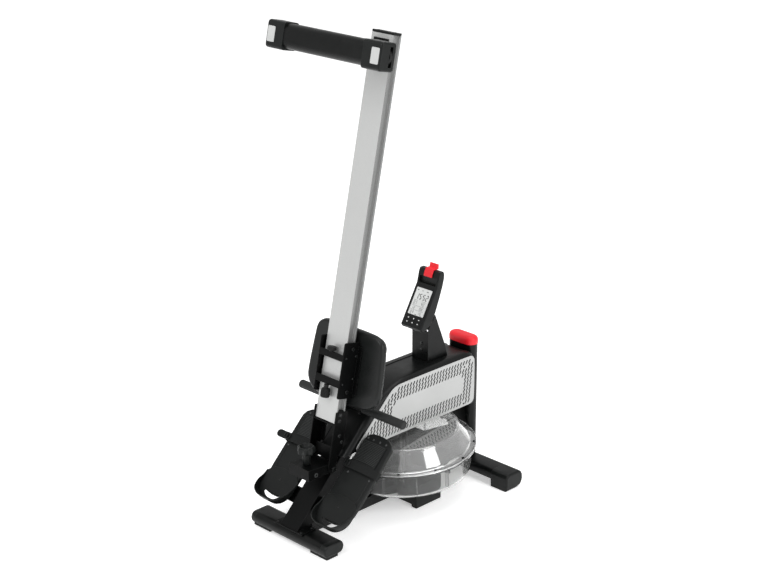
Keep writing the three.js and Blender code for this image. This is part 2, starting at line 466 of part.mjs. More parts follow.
// ---------------------------------------------------------------- console
{
  const c = CONSOLE;
  const body = poly([[545, 588], [620, 716], [629, 753], [635, 765.5], [652, 765.5], [656, 757], [655, 741], [648, 716], [634, 678], [614, 630], [592, 594], [562, 578], [551, 578]]);
  const side = alongX(body, -c.half, c.half, 3, 2);
  const slot = alongX(poly([[610, 717], [632, 719], [633.5, 741], [610, 742]]), -38, 38);
  const lug = alongX(poly([[590, 600], [598, 612], [612, 614], [618, 613.5], [623, 609], [623.5, 603], [619, 598.6], [612, 598], [600, 600]]), -29, 29);
  const pinC = join(cyl("x", 4, -38, 38, 616, 606, 12), cyl("x", 7, 37.5, 41, 616, 606, 6), cyl("x", 7, -41, -37.5, 616, 606, 6));
  const key = (x, t, d) => [x - 4.5 - d, x + 4.5 + d, t - 3 - d, t + 3 + d];
  const spots = [];
  for (const t of [28.4, 14.4]) for (const x of [-23.5, 0, 23.5]) spots.push([x, t]);
  // pockets for the keys, cut square to the face
  const face = new THREE.Matrix4().makeRotationX(rad(c.angle)).setPosition(0, c.y, c.z);
  const pockets = spots.map(([x, t]) => {
    const [x0, x1, t0, t1] = key(x, t, 0.4);
    return solid(new THREE.BoxGeometry(x1 - x0, t1 - t0, 10).translate((x0 + x1) / 2, (t0 + t1) / 2, 0).applyMatrix4(face));
  });
  node("console_body", cut(join(cut(side, slot), lug, pinC), ...pockets), plastic());
  spots.forEach(([x, t], i) => {
    const [x0, x1, t0, t1] = key(x, t, 0);
    node("key_" + (i + 1), box(x0, x1, t0, t1, -3, 1.4), keyGrey(), panelFace);
  });
  const clip = poly([[621.5, 744.5], [625.4, 744.5], [627.6, 752.6], [634.2, 766.2], [657, 766.2], [658.5, 783], [652.5, 785], [649, 771.5], [632, 771.5], [623.8, 756]]);
  node("phone_clip", alongX(clip, -17, 19), red());
}

export default rowing_machine;
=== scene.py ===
import math

import bmesh
import bpy
import numpy as np
from mathutils import Matrix, Vector
from mathutils.geometry import delaunay_2d_cdt


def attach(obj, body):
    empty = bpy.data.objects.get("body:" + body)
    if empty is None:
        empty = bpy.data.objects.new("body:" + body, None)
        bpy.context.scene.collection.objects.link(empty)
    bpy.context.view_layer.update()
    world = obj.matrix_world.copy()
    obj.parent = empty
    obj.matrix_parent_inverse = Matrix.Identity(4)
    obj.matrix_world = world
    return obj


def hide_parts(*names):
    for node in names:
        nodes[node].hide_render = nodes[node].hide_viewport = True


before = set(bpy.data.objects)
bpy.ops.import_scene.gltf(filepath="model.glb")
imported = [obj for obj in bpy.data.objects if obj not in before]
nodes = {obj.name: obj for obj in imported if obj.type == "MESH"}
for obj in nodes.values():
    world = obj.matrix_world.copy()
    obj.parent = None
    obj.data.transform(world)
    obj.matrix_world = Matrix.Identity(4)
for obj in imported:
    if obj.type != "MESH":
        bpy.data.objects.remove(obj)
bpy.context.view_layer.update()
rad = math.radians

# ------------------------------------------------------------------ places (millimetres in each local frame)
YS = -407.0
MM = Matrix.Scale(0.001, 4)
BASE = MM @ Matrix.Translation((0, YS, 0))
RAIL = BASE @ Matrix.Translation((0, 155, 376)) @ Matrix.Rotation(rad(-12.146), 4, "X")
TANK = BASE @ Matrix.Translation((0, 516.2, 176.8)) @ Matrix.Rotation(rad(3.5), 4, "X")
FOOT = BASE @ Matrix.Translation((0, 250, 310)) @ Matrix.Rotation(rad(45), 4, "X")
FACE = BASE @ Matrix.Translation((0, 545, 588)) @ Matrix.Rotation(rad(59.6), 4, "X")
# a (y, z) drawing pushed along +X: local x -> Y, local y -> Z, local z -> X
SIDE = BASE @ Matrix(((0, 0, 1, 0), (1, 0, 0, 0), (0, 1, 0, 0), (0, 0, 0, 1)))
MIRROR = Matrix.Diagonal((-1, 1, 1, 1))


def at(x, y, z):
    return Matrix.Translation((x, y, z))


# ------------------------------------------------------------------ materials
def tree(name):
    m = bpy.data.materials.new(name)
    m.use_nodes = True
    nt = m.node_tree
    return m, nt, nt.nodes["Principled BSDF"]


def node(nt, kind, **inputs):
    n = nt.nodes.new(kind)
    for k, v in inputs.items():
        if k in n.bl_rna.properties.keys() and k not in n.inputs:
            setattr(n, k, v)
        else:
            n.inputs[k].default_value = v
    return n


def coords(nt, rotate=(0, 0, 0), scale=(1, 1, 1)):
    tc = nt.nodes.new("ShaderNodeTexCoord")
    mp = nt.nodes.new("ShaderNodeMapping")
    mp.inputs["Rotation"].default_value = rotate
    mp.inputs["Scale"].default_value = scale
    nt.links.new(tc.outputs["Object"], mp.inputs["Vector"])
    return mp.outputs["Vector"]


def noise(nt, vec, scale, detail=3.0, rough=0.55):
    n = nt.nodes.new("ShaderNodeTexNoise")
    n.inputs["Scale"].default_value = scale
    n.inputs["Detail"].default_value = detail
    n.inputs["Roughness"].default_value = rough
    nt.links.new(vec, n.inputs["Vector"])
    return n.outputs["Fac"]


def remap(nt, value, a, b, lo=0.3, hi=0.7):
    n = nt.nodes.new("ShaderNodeMapRange")
    n.inputs["From Min"].default_value = lo
    n.inputs["From Max"].default_value = hi
    n.inputs["To Min"].default_value = a
    n.inputs["To Max"].default_value = b
    nt.links.new(value, n.inputs["Value"])
    return n.outputs["Result"]


def blend_colour(nt, fac, a, b):
    n = nt.nodes.new("ShaderNodeMix")
    n.data_type = "RGBA"
    for sock, c in ((6, a), (7, b)):
        if isinstance(c, (tuple, list)):
            n.inputs[sock].default_value = (*c, 1)
        else:
            nt.links.new(c, n.inputs[sock])
    nt.links.new(fac, n.inputs[0])
    return n.outputs[2]


def bump(nt, height, strength, distance, normal=None):
    n = nt.nodes.new("ShaderNodeBump")
    n.inputs["Strength"].default_value = strength
    n.inputs["Distance"].default_value = distance
    nt.links.new(height, n.inputs["Height"])
    if normal is not None:
        nt.links.new(normal, n.inputs["Normal"])
    return n.outputs["Normal"]


def surface(name, base, rough=0.5, metal=0.0, grain=900, bump_s=0.25, bump_d=0.0002, var=0.18,
            rough_var=0.08, edge=0.0, edge_r=0.0016, voronoi=False, coat=0.0, spec=0.5, marks=0.0):
    m, nt, p = tree(name)
    v = coords(nt)
    big = noise(nt, v, 9, 4)
    lo = tuple(c * (1 - var) for c in base)
    hi = tuple(min(1, c * (1 + var)) for c in base)
    colour = blend_colour(nt, remap(nt, big, 0, 1), lo, hi)
    if marks:
        fine = noise(nt, v, 160, 6, 0.7)
        colour = blend_colour(nt, remap(nt, fine, 0, marks, 0.6, 0.78), colour, tuple(min(1, c * 1.9 + 0.01) for c in base))
    # painted highlight: where the bevel normal bends away from the face normal, at edges, the colour is lightened to
    # stand in for light caught on rounded edges
    if edge:
        bv = nt.nodes.new("ShaderNodeBevel")
        bv.samples = 4
        bv.inputs["Radius"].default_value = edge_r
        geo = nt.nodes.new("ShaderNodeNewGeometry")
        dot = nt.nodes.new("ShaderNodeVectorMath")
        dot.operation = "DOT_PRODUCT"
        nt.links.new(bv.outputs["Normal"], dot.inputs[0])
        nt.links.new(geo.outputs["Normal"], dot.inputs[1])
        edge_highlight = remap(nt, dot.outputs["Value"], edge, 0, 0.86, 0.995)
        colour = blend_colour(nt, edge_highlight, colour, tuple(min(1, c * 3 + 0.05) for c in base))
    nt.links.new(colour, p.inputs["Base Color"])
    nt.links.new(remap(nt, noise(nt, v, 35, 5), rough - rough_var, rough + rough_var), p.inputs["Roughness"])
    p.inputs["Metallic"].default_value = metal
    p.inputs["Specular IOR Level"].default_value = spec
    if coat:
        p.inputs["Coat Weight"].default_value = coat
        p.inputs["Coat Roughness"].default_value = 0.15
    if voronoi:
        vo = nt.nodes.new("ShaderNodeTexVoronoi")
        vo.inputs["Scale"].default_value = grain
        nt.links.new(v, vo.inputs["Vector"])
        height = vo.outputs["Distance"]
    else:
        height = noise(nt, v, grain, 2)
    nt.links.new(bump(nt, height, bump_s, bump_d), p.inputs["Normal"])
    return m


def weave(name, base, rotate, pitch=2.6, rough=0.75):
    m, nt, p = tree(name)
    v = coords(nt, rotate)
    waves = []
    for direction in ("X", "Y"):
        w = nt.nodes.new("ShaderNodeTexWave")
        w.bands_direction = direction
        w.inputs["Scale"].default_value = 1000 / pitch / (1 if direction == "X" else 1.6) * 0.32
        w.inputs["Distortion"].default_value = 0.4
        nt.links.new(v, w.inputs["Vector"])
        waves.append(w.outputs["Fac"])
    mul = nt.nodes.new("ShaderNodeMath")
    mul.operation = "MULTIPLY"
    nt.links.new(waves[0], mul.inputs[0])
    nt.links.new(waves[1], mul.inputs[1])
    fuzz = noise(nt, v, 700, 4)
    colour = blend_colour(nt, mul.outputs[0], tuple(c * 0.6 for c in base), tuple(c * 1.35 for c in base))
    colour = blend_colour(nt, remap(nt, fuzz, 0, 0.35), colour, tuple(c * 1.8 for c in base))
    nt.links.new(colour, p.inputs["Base Color"])
    nt.links.new(remap(nt, fuzz, rough - 0.08, rough + 0.12), p.inputs["Roughness"])
    p.inputs["Specular IOR Level"].default_value = 0.2
    nt.links.new(bump(nt, mul.outputs[0], 0.6, 0.0004), p.inputs["Normal"])
    return m


def brushed(name, base, rough, rotate, stretch, metal=0.85, side_shade=0.0):
    m, nt, p = tree(name)
    v = coords(nt, rotate, stretch)
    lines = noise(nt, v, 1.0, 5, 0.6)
    flat = coords(nt)
    cloud = noise(nt, flat, 6, 3)
    colour = blend_colour(nt, remap(nt, lines, 0, 1, 0.25, 0.75), tuple(c * 0.93 for c in base), tuple(min(1, c * 1.05) for c in base))
    colour = blend_colour(nt, remap(nt, cloud, 0, 0.2), colour, tuple(c * 0.9 for c in base))
    # painted shade: faces turned along X, the rail's sides, are darkened in colour to stand in for their shade
    if side_shade:
        geo = nt.nodes.new("ShaderNodeNewGeometry")
        sep = nt.nodes.new("ShaderNodeSeparateXYZ")
        nt.links.new(geo.outputs["Normal"], sep.inputs[0])
        ab = nt.nodes.new("ShaderNodeMath")
        ab.operation = "ABSOLUTE"
        nt.links.new(sep.outputs[0], ab.inputs[0])
        colour = blend_colour(nt, remap(nt, ab.outputs[0], 0, side_shade, 0.45, 0.8), colour, tuple(c * 0.12 for c in base))
    nt.links.new(colour, p.inputs["Base Color"])
    nt.links.new(remap(nt, lines, rough - 0.06, rough + 0.08, 0.25, 0.75), p.inputs["Roughness"])
    p.inputs["Metallic"].default_value = metal
    nt.links.new(bump(nt, lines, 0.12, 0.0001), p.inputs["Normal"])
    return m


def clear_plastic(name, tint, rough=0.03, body=0.93, coat=0.0):
    m, nt, p = tree(name)
    v = coords(nt)
    haze = noise(nt, v, 12, 4)
    nt.links.new(blend_colour(nt, remap(nt, haze, 0, 1), tint, tuple(c * 0.94 for c in tint)), p.inputs["Base Color"])
    nt.links.new(remap(nt, noise(nt, v, 60, 5), rough * 0.5, rough * 2), p.inputs["Roughness"])
    p.inputs["Transmission Weight"].default_value = body
    if coat:
        p.inputs["Coat Weight"].default_value = coat
        p.inputs["Coat IOR"].default_value = 2.1
        p.inputs["Coat Roughness"].default_value = 0.02
    p.inputs["IOR"].default_value = 1.32
    p.inputs["Specular IOR Level"].default_value = 0.8
    nt.links.new(bump(nt, noise(nt, v, 7, 1), 0.02, 0.0005), p.inputs["Normal"])
    return m


# edge sets how strongly each material's edges get a painted highlight
mat_paint = surface("black_powder_coat", (0.0026, 0.0030, 0.0029), 0.34, 0.0, 1500, 0.30, 0.00015, 0.18, 0.07, edge=0.45, spec=0.17)
# darker, rougher, less glossy copy of the black paint for the post, hinge, brackets and carriage: the matte finish is
# their own, and the darker colour is partly painted shade for where they sit behind and under the rail and seat
mat_post = surface("matte_post_paint_and_painted_shade", (0.0015, 0.0017, 0.0017), 0.46, 0.0, 1500, 0.30, 0.00015, 0.18, 0.07, edge=0.35, spec=0.09)
mat_plastic = surface("black_moulded_plastic", (0.0052, 0.0061, 0.0058), 0.40, 0.0, 1300, 0.32, 0.00018, 0.16, 0.07, edge=0.38, spec=0.18)
mat_cover = surface("housing_plastic", (0.0040, 0.0045, 0.0044), 0.33, 0.0, 1300, 0.25, 0.00015, 0.14, 0.06, edge=0.3, spec=0.19)
mat_rubber = surface("foam_rubber", (0.0135, 0.0148, 0.0144), 0.62, 0.0, 850, 0.55, 0.00035, 0.2, 0.08, voronoi=True, spec=0.26)
mat_buffer = surface("black_rubber", (0.0050, 0.0053, 0.0053), 0.52, 0.0, 700, 0.35, 0.0003, 0.2, 0.08, spec=0.24)
mat_vinyl = surface("seat_vinyl", (0.0072, 0.0082, 0.0079), 0.40, 0.0, 620, 0.40, 0.0003, 0.14, 0.06, voronoi=True, spec=0.22)
mat_shell = surface("seat_shell", (0.0066, 0.0074, 0.0072), 0.32, 0.0, 1500, 0.2, 0.00012, 0.12, 0.05, edge=0.3, spec=0.24)
mat_red = surface("red_plastic", (0.74, 0.012, 0.022), 0.42, 0.0, 1200, 0.22, 0.00015, 0.06, 0.06, edge=0.1, spec=0.35)
mat_panel = surface("panel_grey", (0.42, 0.425, 0.42), 0.38, 0.1, 1600, 0.18, 0.0001, 0.035, 0.05, edge=0.22, spec=0.4)
mat_pad = surface("grey_pad", (0.44, 0.445, 0.44), 0.7, 0.0, 700, 0.5, 0.0003, 0.06, 0.08, voronoi=True, spec=0.25)
mat_steel = surface("zinc_steel", (0.42, 0.43, 0.44), 0.30, 1.0, 500, 0.1, 0.0001, 0.1, 0.08, marks=0.2)
mat_bolt = surface("black_steel", (0.014, 0.015, 0.015), 0.28, 0.6, 600, 0.1, 0.0001, 0.15, 0.08, edge=0.6)
mat_screw = surface("dull_screw", (0.075, 0.078, 0.078), 0.34, 0.6, 600, 0.1, 0.0001, 0.15, 0.08, edge=0.5)
mat_tread = surface("tread_rubber", (0.026, 0.028, 0.0275), 0.5, 0.0, 900, 0.3, 0.0002, 0.15, 0.08, spec=0.35)
# near-black: the own colour of the tank bolt heads, and painted shade where it fills screw recesses and lies behind the
# panel slots
mat_dark = surface("black_and_painted_recess_shade", (0.004, 0.0043, 0.0043), 0.7, 0.0, 900, 0.2, 0.0002, 0.2, 0.05, spec=0.12)
mat_key = surface("key_black", (0.012, 0.013, 0.013), 0.45, 0.0, 1200, 0.2, 0.0001, 0.1, 0.05, edge=0.3, spec=0.25)
mat_mark = surface("key_mark_white", (0.74, 0.745, 0.74), 0.5, 0.0, 1200, 0.2, 0.0001, 0.04, 0.05)
mat_lcd = surface("lcd_pale", (0.66, 0.67, 0.66), 0.22, 0.0, 400, 0.04, 0.0001, 0.03, 0.03, coat=0.4)
mat_ink = surface("lcd_ink", (0.018, 0.019, 0.019), 0.4, 0.0, 900, 0.05, 0.0001, 0.1, 0.04, spec=0.2)
mat_ink_soft = surface("lcd_ink_soft", (0.13, 0.135, 0.135), 0.4, 0.0, 900, 0.05, 0.0001, 0.1, 0.04, spec=0.2)
mat_blade = surface("paddle_plastic", (0.030, 0.032, 0.032), 0.32, 0.0, 1000, 0.15, 0.0001, 0.15, 0.06, spec=0.4)
# the rail's sides get painted shade
mat_rail = brushed("rail_aluminium", (0.485, 0.49, 0.485), 0.38, (rad(12.146), 0, 0), (900, 900, 7), 0.5, side_shade=0.62)
mat_clear = clear_plastic("clear_polycarbonate", (0.80, 0.805, 0.80), 0.025, 0.965)
mat_lid = clear_plastic("clear_lid", (0.88, 0.885, 0.88), 0.02, 0.88, 0.8)
mat_web_foot = weave("woven_strap", (0.0060, 0.0067, 0.0065), (rad(-45), 0, 0))
mat_web = weave("drive_webbing", (0.03, 0.031, 0.031), (rad(90), 0, 0))


# ------------------------------------------------------------------ mesh makers
def link(name, mesh, body, material, smooth=40, bevel=None, segments=2):
    o = bpy.data.objects.new(name, mesh)
    bpy.context.scene.collection.objects.link(o)
    mesh.materials.clear()
    mesh.materials.append(material)
    for f in mesh.polygons:
        f.use_smooth = smooth > 0
    if smooth > 0:
        mesh.set_sharp_from_angle(angle=rad(smooth))
    if bevel:
        b = o.modifiers.new("edges", "BEVEL")
        b.width = bevel / 1000
        b.segments = segments
        b.limit_method = "ANGLE"
        b.angle_limit = rad(35)
        b.harden_normals = True
    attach(o, body)
    return o


def build(name, parts, body, material, smooth=40, bevel=None, segments=2):
    """parts: (verts in mm, faces, matrix) joined into one piece"""
    bm = bmesh.new()
    for verts, faces, M in parts:
        vs = [bm.verts.new(M @ Vector(v)) for v in verts]
        for f in faces:
            if len(set(f)) >= 3:
                try:
                    bm.faces.new([vs[i] for i in f])
                except ValueError:
                    pass
    bmesh.ops.remove_doubles(bm, verts=bm.verts, dist=1e-7)
    bmesh.ops.recalc_face_normals(bm, faces=bm.faces)
    mesh = bpy.data.meshes.new(name)
    bm.to_mesh(mesh)
    bm.free()
    return link(name, mesh, body, material, smooth, bevel, segments)


def ring_skin(rings, closed=True, caps=True):
    n = len(rings[0])
    verts = [p for r in rings for p in r]
    faces = []
    for k in range(len(rings) - 1):
        for i in range(n if closed else n - 1):
            a, b = k * n + i, k * n + (i + 1) % n
            faces.append((a, b, b + n, a + n))
    if caps:
        faces.append(tuple(range(n))[::-1])
        faces.append(tuple((len(rings) - 1) * n + i for i in range(n)))
    return verts, faces


def lathe(profile, seg=96):
    rings = []
    for r, h in profile:
        rings.append([(r * math.cos(2 * math.pi * i / seg), r * math.sin(2 * math.pi * i / seg), h) for i in range(seg)])
    verts, faces = ring_skin(rings, caps=False)
    if profile[0] != profile[-1]:
        for k, r in ((0, profile[0]), (len(rings) - 1, profile[-1])):
            if r[0] > 0:
                loop = tuple(k * seg + i for i in range(seg))
                faces.append(loop if k else loop[::-1])
    return verts, faces


def block(x0, x1, y0, y1, z0, z1):
    v = [(x, y, z) for x in (x0, x1) for y in (y0, y1) for z in (z0, z1)]
    return v, [(0, 1, 3, 2), (4, 6, 7, 5), (0, 4, 5, 1), (2, 3, 7, 6), (0, 2, 6, 4), (1, 5, 7, 3)]


def rounded(a0, a1, b0, b1, r, seg=8):
    pts = []
    for ca, cb, f in ((a1 - r, b1 - r, 0), (a0 + r, b1 - r, 90), (a0 + r, b0 + r, 180), (a1 - r, b0 + r, 270)):
        for i in range(seg + 1):
            t = rad(f + 90 * i / seg)
            pts.append((ca + r * math.cos(t), cb + r * math.sin(t)))
    return pts


def grow(pts, k):
    """moves a loop outwards by k (inwards when negative), corner by corner"""
    n = len(pts)
    area2 = sum(pts[i][0] * pts[(i + 1) % n][1] - pts[(i + 1) % n][0] * pts[i][1] for i in range(n))
    sign = 1 if area2 > 0 else -1
    out = []
    for i in range(n):
        a, c, b = Vector(pts[i - 1]), Vector(pts[i]), Vector(pts[(i + 1) % n])
        u, v = (c - a).normalized(), (b - c).normalized()
        nu, nv = Vector((u.y, -u.x)) * sign, Vector((v.y, -v.x)) * sign
        m = (nu + nv)
        m = m.normalized() if m.length > 1e-6 else nu
        out.append(tuple(c + m * (k / max(0.5, m.dot(nu)))))
    return out


def turned(lp):
    """the loop running anticlockwise"""
    area2 = sum(lp[i][0] * lp[(i + 1) % len(lp)][1] - lp[(i + 1) % len(lp)][0] * lp[i][1] for i in range(len(lp)))
    return list(lp) if area2 > 0 else list(lp)[::-1]


def fill(loops):
    """triangles of the first loop less the others, as indices into the joined loops"""
    pts = [Vector(p) for lp in loops for p in lp]
    faces, at0 = [], 0
    for lp in loops:
        faces.append(list(range(at0, at0 + len(lp))))
        at0 += len(lp)
    verts, edges, tris, vo, eo, fo = delaunay_2d_cdt(pts, [], faces, 1, 1e-5)
    lookup = [o[0] if o else None for o in vo]
    return [tuple(lookup[i] for i in t) for t, o in zip(tris, fo) if o == [0] and all(lookup[i] is not None for i in t)]


def plate(name, outer, holes, z0, z1, M, body, material, bevel=0.3, smooth=30):
    """a flat plate with real holes, drawn in local x-y and z0..z1 thick, its front edges eased"""
    full = [turned(outer), *[turned(h) for h in holes]]
    front = [grow(full[0], -bevel), *[grow(h, bevel) for h in full[1:]]]
    n = sum(len(lp) for lp in full)
    verts = [(x, y, z1) for lp in front for x, y in lp] + [(x, y, z1 - bevel) for lp in full for x, y in lp] + [(x, y, z0) for lp in full for x, y in lp]
    faces = fill(front) + [tuple(i + 2 * n for i in t) for t in fill(full)]
    at0 = 0
    for lp in full:
        m = len(lp)
        for i in range(m):
            a, b = at0 + i, at0 + (i + 1) % m
            faces += [(a, b, b + n, a + n), (a + n, b + n, b + 2 * n, a + 2 * n)]
        at0 += m
    return build(name, [(verts, faces, M)], body, material, smooth)


def screw(r=4.0, h=1.8, sink=0.55):
    """round head with a hexagon recess, standing on local z = 0"""
    v, f = lathe([(0.001, h), (r * 0.55, h), (r * 0.82, h * 0.8), (r, h * 0.25), (r, -sink)], 24)
    hexa = [(r * 0.42 * math.cos(rad(60 * i)), r * 0.42 * math.sin(rad(60 * i)), h + 0.02) for i in range(6)]
    return v, f, hexa


def screws(name, spots, body, material=None, r=4.0, h=1.8):
    parts, marks = [], []
    for M in spots:
        v, f, hexa = screw(r, h)
        parts.append((v, f, M))
        # painted shade: a dark hexagon patch laid on the head stands in for the shade inside the recess
        marks.append(([*hexa, *[(x * 0.9, y * 0.9, z - 0.35) for x, y, z in hexa]], [(0, 1, 2, 3, 4, 5), (11, 10, 9, 8, 7, 6), *[(i, (i + 1) % 6, 6 + (i + 1) % 6, 6 + i) for i in range(6)]], M))
    build(name, parts, body, material or mat_bolt, 50)
    build(name + "_socket", marks, body, mat_dark, 0)


def hexbolts(name, spots, body, r=6.0, h=4.0, material=None):
    parts = []
    for M in spots:
        rings = [[(k * r * math.cos(rad(60 * i)), k * r * math.sin(rad(60 * i)), z) for i in range(6)] for k, z in ((1, -0.4), (1, h * 0.8), (0.86, h))]
        parts.append((*ring_skin(rings), M))
        wash = [[(q * math.cos(rad(15 * i)), q * math.sin(rad(15 * i)), z) for i in range(24)] for q, z in ((r * 1.45, -0.4), (r * 1.45, 0.7), (r * 1.3, 1.0))]
        parts.append((*ring_skin(wash), M))
    build(name, parts, body, material or mat_bolt, 30)


# turn local +Z to point along world X or -X, from a place in the side drawing
def out_x(x, y, z, side=1, base=BASE):
    return base @ at(x, y, z) @ Matrix.Rotation(rad(90 * side), 4, "Y")


def out_y(x, y, z, side=-1, base=BASE):
    return base @ at(x, y, z) @ Matrix.Rotation(rad(-90 * side), 4, "X")


# ------------------------------------------------------------------ finish on the CAD nodes
group = bpy.data.node_groups.new("shade_by_angle", "GeometryNodeTree")
group.interface.new_socket("Geometry", in_out="INPUT", socket_type="NodeSocketGeometry")
group.interface.new_socket("Geometry", in_out="OUTPUT", socket_type="NodeSocketGeometry")
g_in, g_out = group.nodes.new("NodeGroupInput"), group.nodes.new("NodeGroupOutput")
face_smooth = group.nodes.new("GeometryNodeSetShadeSmooth")
edge_sharp = group.nodes.new("GeometryNodeSetShadeSmooth")
edge_sharp.domain = "EDGE"
edge_sharp.inputs["Shade Smooth"].default_value = False
angle = group.nodes.new("GeometryNodeInputMeshEdgeAngle")
over = group.nodes.new("FunctionNodeCompare")
over.data_type = "FLOAT"
over.operation = "GREATER_THAN"
over.inputs[1].default_value = rad(46)
group.links.new(angle.outputs["Unsigned Angle"], over.inputs[0])
group.links.new(g_in.outputs[0], face_smooth.inputs["Geometry"])
group.links.new(face_smooth.outputs[0], edge_sharp.inputs["Geometry"])
group.links.new(over.outputs[0], edge_sharp.inputs["Selection"])
group.links.new(edge_sharp.outputs[0], g_out.inputs[0])


def finish(name, material, bevel=1.2, limit=32, segments=2):
    o = nodes[name]
    o.data.materials.clear()
    o.data.materials.append(material)
    w = o.modifiers.new("weld", "WELD")
    w.merge_threshold = 1e-5
    if bevel:
        b = o.modifiers.new("edges", "BEVEL")
        b.width = bevel / 1000
        b.segments = segments
        b.limit_method = "ANGLE"
        b.angle_limit = rad(limit)
        b.use_clamp_overlap = True
    s = o.modifiers.new("shade", "NODES")
    s.node_group = group
    n = o.modifiers.new("normals", "WEIGHTED_NORMAL")
    n.keep_sharp = True
    return o


looks = {
    "near_foot_tube": (mat_paint, 0), "near_foot_cap_left": (mat_plastic, 1.5), "near_foot_cap_right": (mat_plastic, 1.5),
    "base_beam": (mat_paint, 0), "mid_foot": (mat_plastic, 2.5), "far_foot_tube": (mat_paint, 0),
    "far_foot_cap_left": (mat_plastic, 1.0), "far_foot_cap_right": (mat_plastic, 1.0), "front_post": (mat_post, 1.2),
    "hinge_box": (mat_post, 1.2), "hinge_pin": (mat_bolt, 0.8), "rear_column": (mat_paint, 0), "column_cap": (mat_red, 0),
    "drive_frame": (mat_paint, 0), "housing_left": (mat_cover, 0), "housing_right": (mat_cover, 0), "housing_centre": (mat_cover, 0),
    "console_bracket": (mat_paint, 0.8), "tank_bowl": (mat_clear, 0), "tank_lid": (mat_lid, 0),
    "footrest_left": (mat_plastic, 1.5), "footrest_right": (mat_plastic, 1.5), "footrest_bracket": (mat_post, 1.0),
    "heel_cup_left": (mat_plastic, 1.2), "heel_cup_right": (mat_plastic, 1.2), "lock_knob": (mat_plastic, 1.0),
    "rail": (mat_rail, 1.2), "rail_end_cap": (mat_plastic, 1.5), "hinge_bracket": (mat_post, 1.0), "rear_foot_tube": (mat_paint, 0),
    "rear_foot_cap_left": (mat_plastic, 1.5), "rear_foot_cap_right": (mat_plastic, 1.5), "level_wheel_left": (mat_buffer, 0.5),
    "level_wheel_right": (mat_buffer, 0.5), "seat_carriage": (mat_post, 1.0), "buffer_upper": (mat_buffer, 1.0), "buffer_lower": (mat_buffer, 1.0),
    "roller_lower_left": (mat_bolt, 0.6), "roller_lower_right": (mat_bolt, 0.6), "roller_upper_left": (mat_bolt, 0.6), "roller_upper_right": (mat_bolt, 0.6),
    "handle_bar": (mat_paint, 0), "grip_left": (mat_rubber, 0), "grip_right": (mat_rubber, 0), "drive_strap": (mat_web, 0), "strap_drum": (mat_plastic, 0),
    "paddle": (mat_blade, 1.0), "console_body": (mat_plastic, 1.5), "phone_clip": (mat_red, 1.6),
    **{f"key_{i}": (mat_key, 0.8) for i in range(1, 7)},
}
for name, (material, width) in looks.items():
    finish(name, material, width)

# ------------------------------------------------------------------ side panels with real slots
PANEL = [(747, 269.5), (765, 272), (774, 280), (777, 294), (777, 422), (774, 434), (766, 443), (752, 446.7), (425, 446.7), (398, 442), (376, 433), (328.6, 389), (254, 317.3), (222, 286.5), (217, 277), (224, 270.5), (240, 269.5)]
PLAIN = [(384, 345), (387, 366), (402, 382), (420, 386.5), (693, 386.5), (712, 378), (722, 362), (721, 333), (705, 325), (600, 321.5), (440, 324.5), (400, 333)]


def smooth_loop(pts, times=3):
    for _ in range(times):
        pts = [q for i, p in enumerate(pts) for n in [pts[(i + 1) % len(pts)]]
               for q in ((p[0] * 0.75 + n[0] * 0.25, p[1] * 0.75 + n[1] * 0.25), (p[0] * 0.25 + n[0] * 0.75, p[1] * 0.25 + n[1] * 0.75))]
    return pts


def inside(p, loop):
    c = False
    for i in range(len(loop)):
        (x1, y1), (x2, y2) = loop[i], loop[(i + 1) % len(loop)]
        if (y1 > p[1]) != (y2 > p[1]) and p[0] < (x2 - x1) * (p[1] - y1) / (y2 - y1) + x1:
            c = not c
    return c


def gap_to(p, loop):
    best = 1e9
    for i in range(len(loop)):
        a, b = Vector(loop[i]), Vector(loop[(i + 1) % len(loop)])
        d = b - a
        t = max(0, min(1, (Vector(p) - a).dot(d) / d.length_squared))
        best = min(best, (Vector(p) - a - d * t).length)
    return best


SCREWS = [(725.9, 414.5), (374.2, 386.8), (723.8, 280.6), (262, 286)]


def slots():
    lean = Vector((math.sin(rad(31)), math.cos(rad(31))))
    across = Vector((lean.y, -lean.x))
    half, r = 5.6, 2.95
    out = []
    for j in range(-2, 13):
        for i in range(-4, 52):
            c = Vector((210 + 14.2 * i + (j * 1.56) % 14.2, 284.6 + 14.4 * j))
            ends = [c + lean * half, c - lean * half]
            if any(not inside(e, PANEL) or gap_to(e, PANEL) < 10 or inside(e, PLAIN) for e in ends):
                continue
            if inside(c, PLAIN) or min(gap_to(e, PLAIN) for e in [*ends, c]) < 0.6 or any((c - Vector(s)).length < 11 for s in SCREWS):
                continue
            loop = []
            for e, sgn in ((ends[0], 1), (ends[1], -1)):
                for k in range(5):
                    t = rad(-90 + 45 * k)
                    loop.append(tuple(e + lean * (math.cos(t) * r * sgn) + across * (math.sin(t) * r * sgn)))
            out.append(loop)
    return out


slot_list = slots()
panel_line = smooth_loop(PANEL, 2)
screw_holes = [[(y + 2.6 * math.cos(rad(30 * k)), z + 2.6 * math.sin(rad(30 * k))) for k in range(12)] for y, z in SCREWS]
for side, M in (("right", SIDE), ("left", SIDE @ Matrix.Diagonal((1, 1, -1, 1)))):
    p = plate("panel_" + side, panel_line, slot_list, 76.3, 78.3, M, "base", mat_panel, 0.3)
    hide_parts("side_panel_" + side)
    # painted shade: a black sheet just behind the panel makes the slots read as shaded openings
    back = plate("panel_slot_shade_" + side, [(a, b) for a, b in panel_line if True], [], 76.06, 76.26, M, "base", mat_dark, 0.04)
screws("panel_screws_right", [out_x(78.0, y, z, 1) for y, z in SCREWS], "base", mat_bolt, 3.6, 1.3)
screws("panel_screws_left", [out_x(-78.0, y, z, -1) for y, z in SCREWS], "base", mat_bolt, 3.6, 1.3)

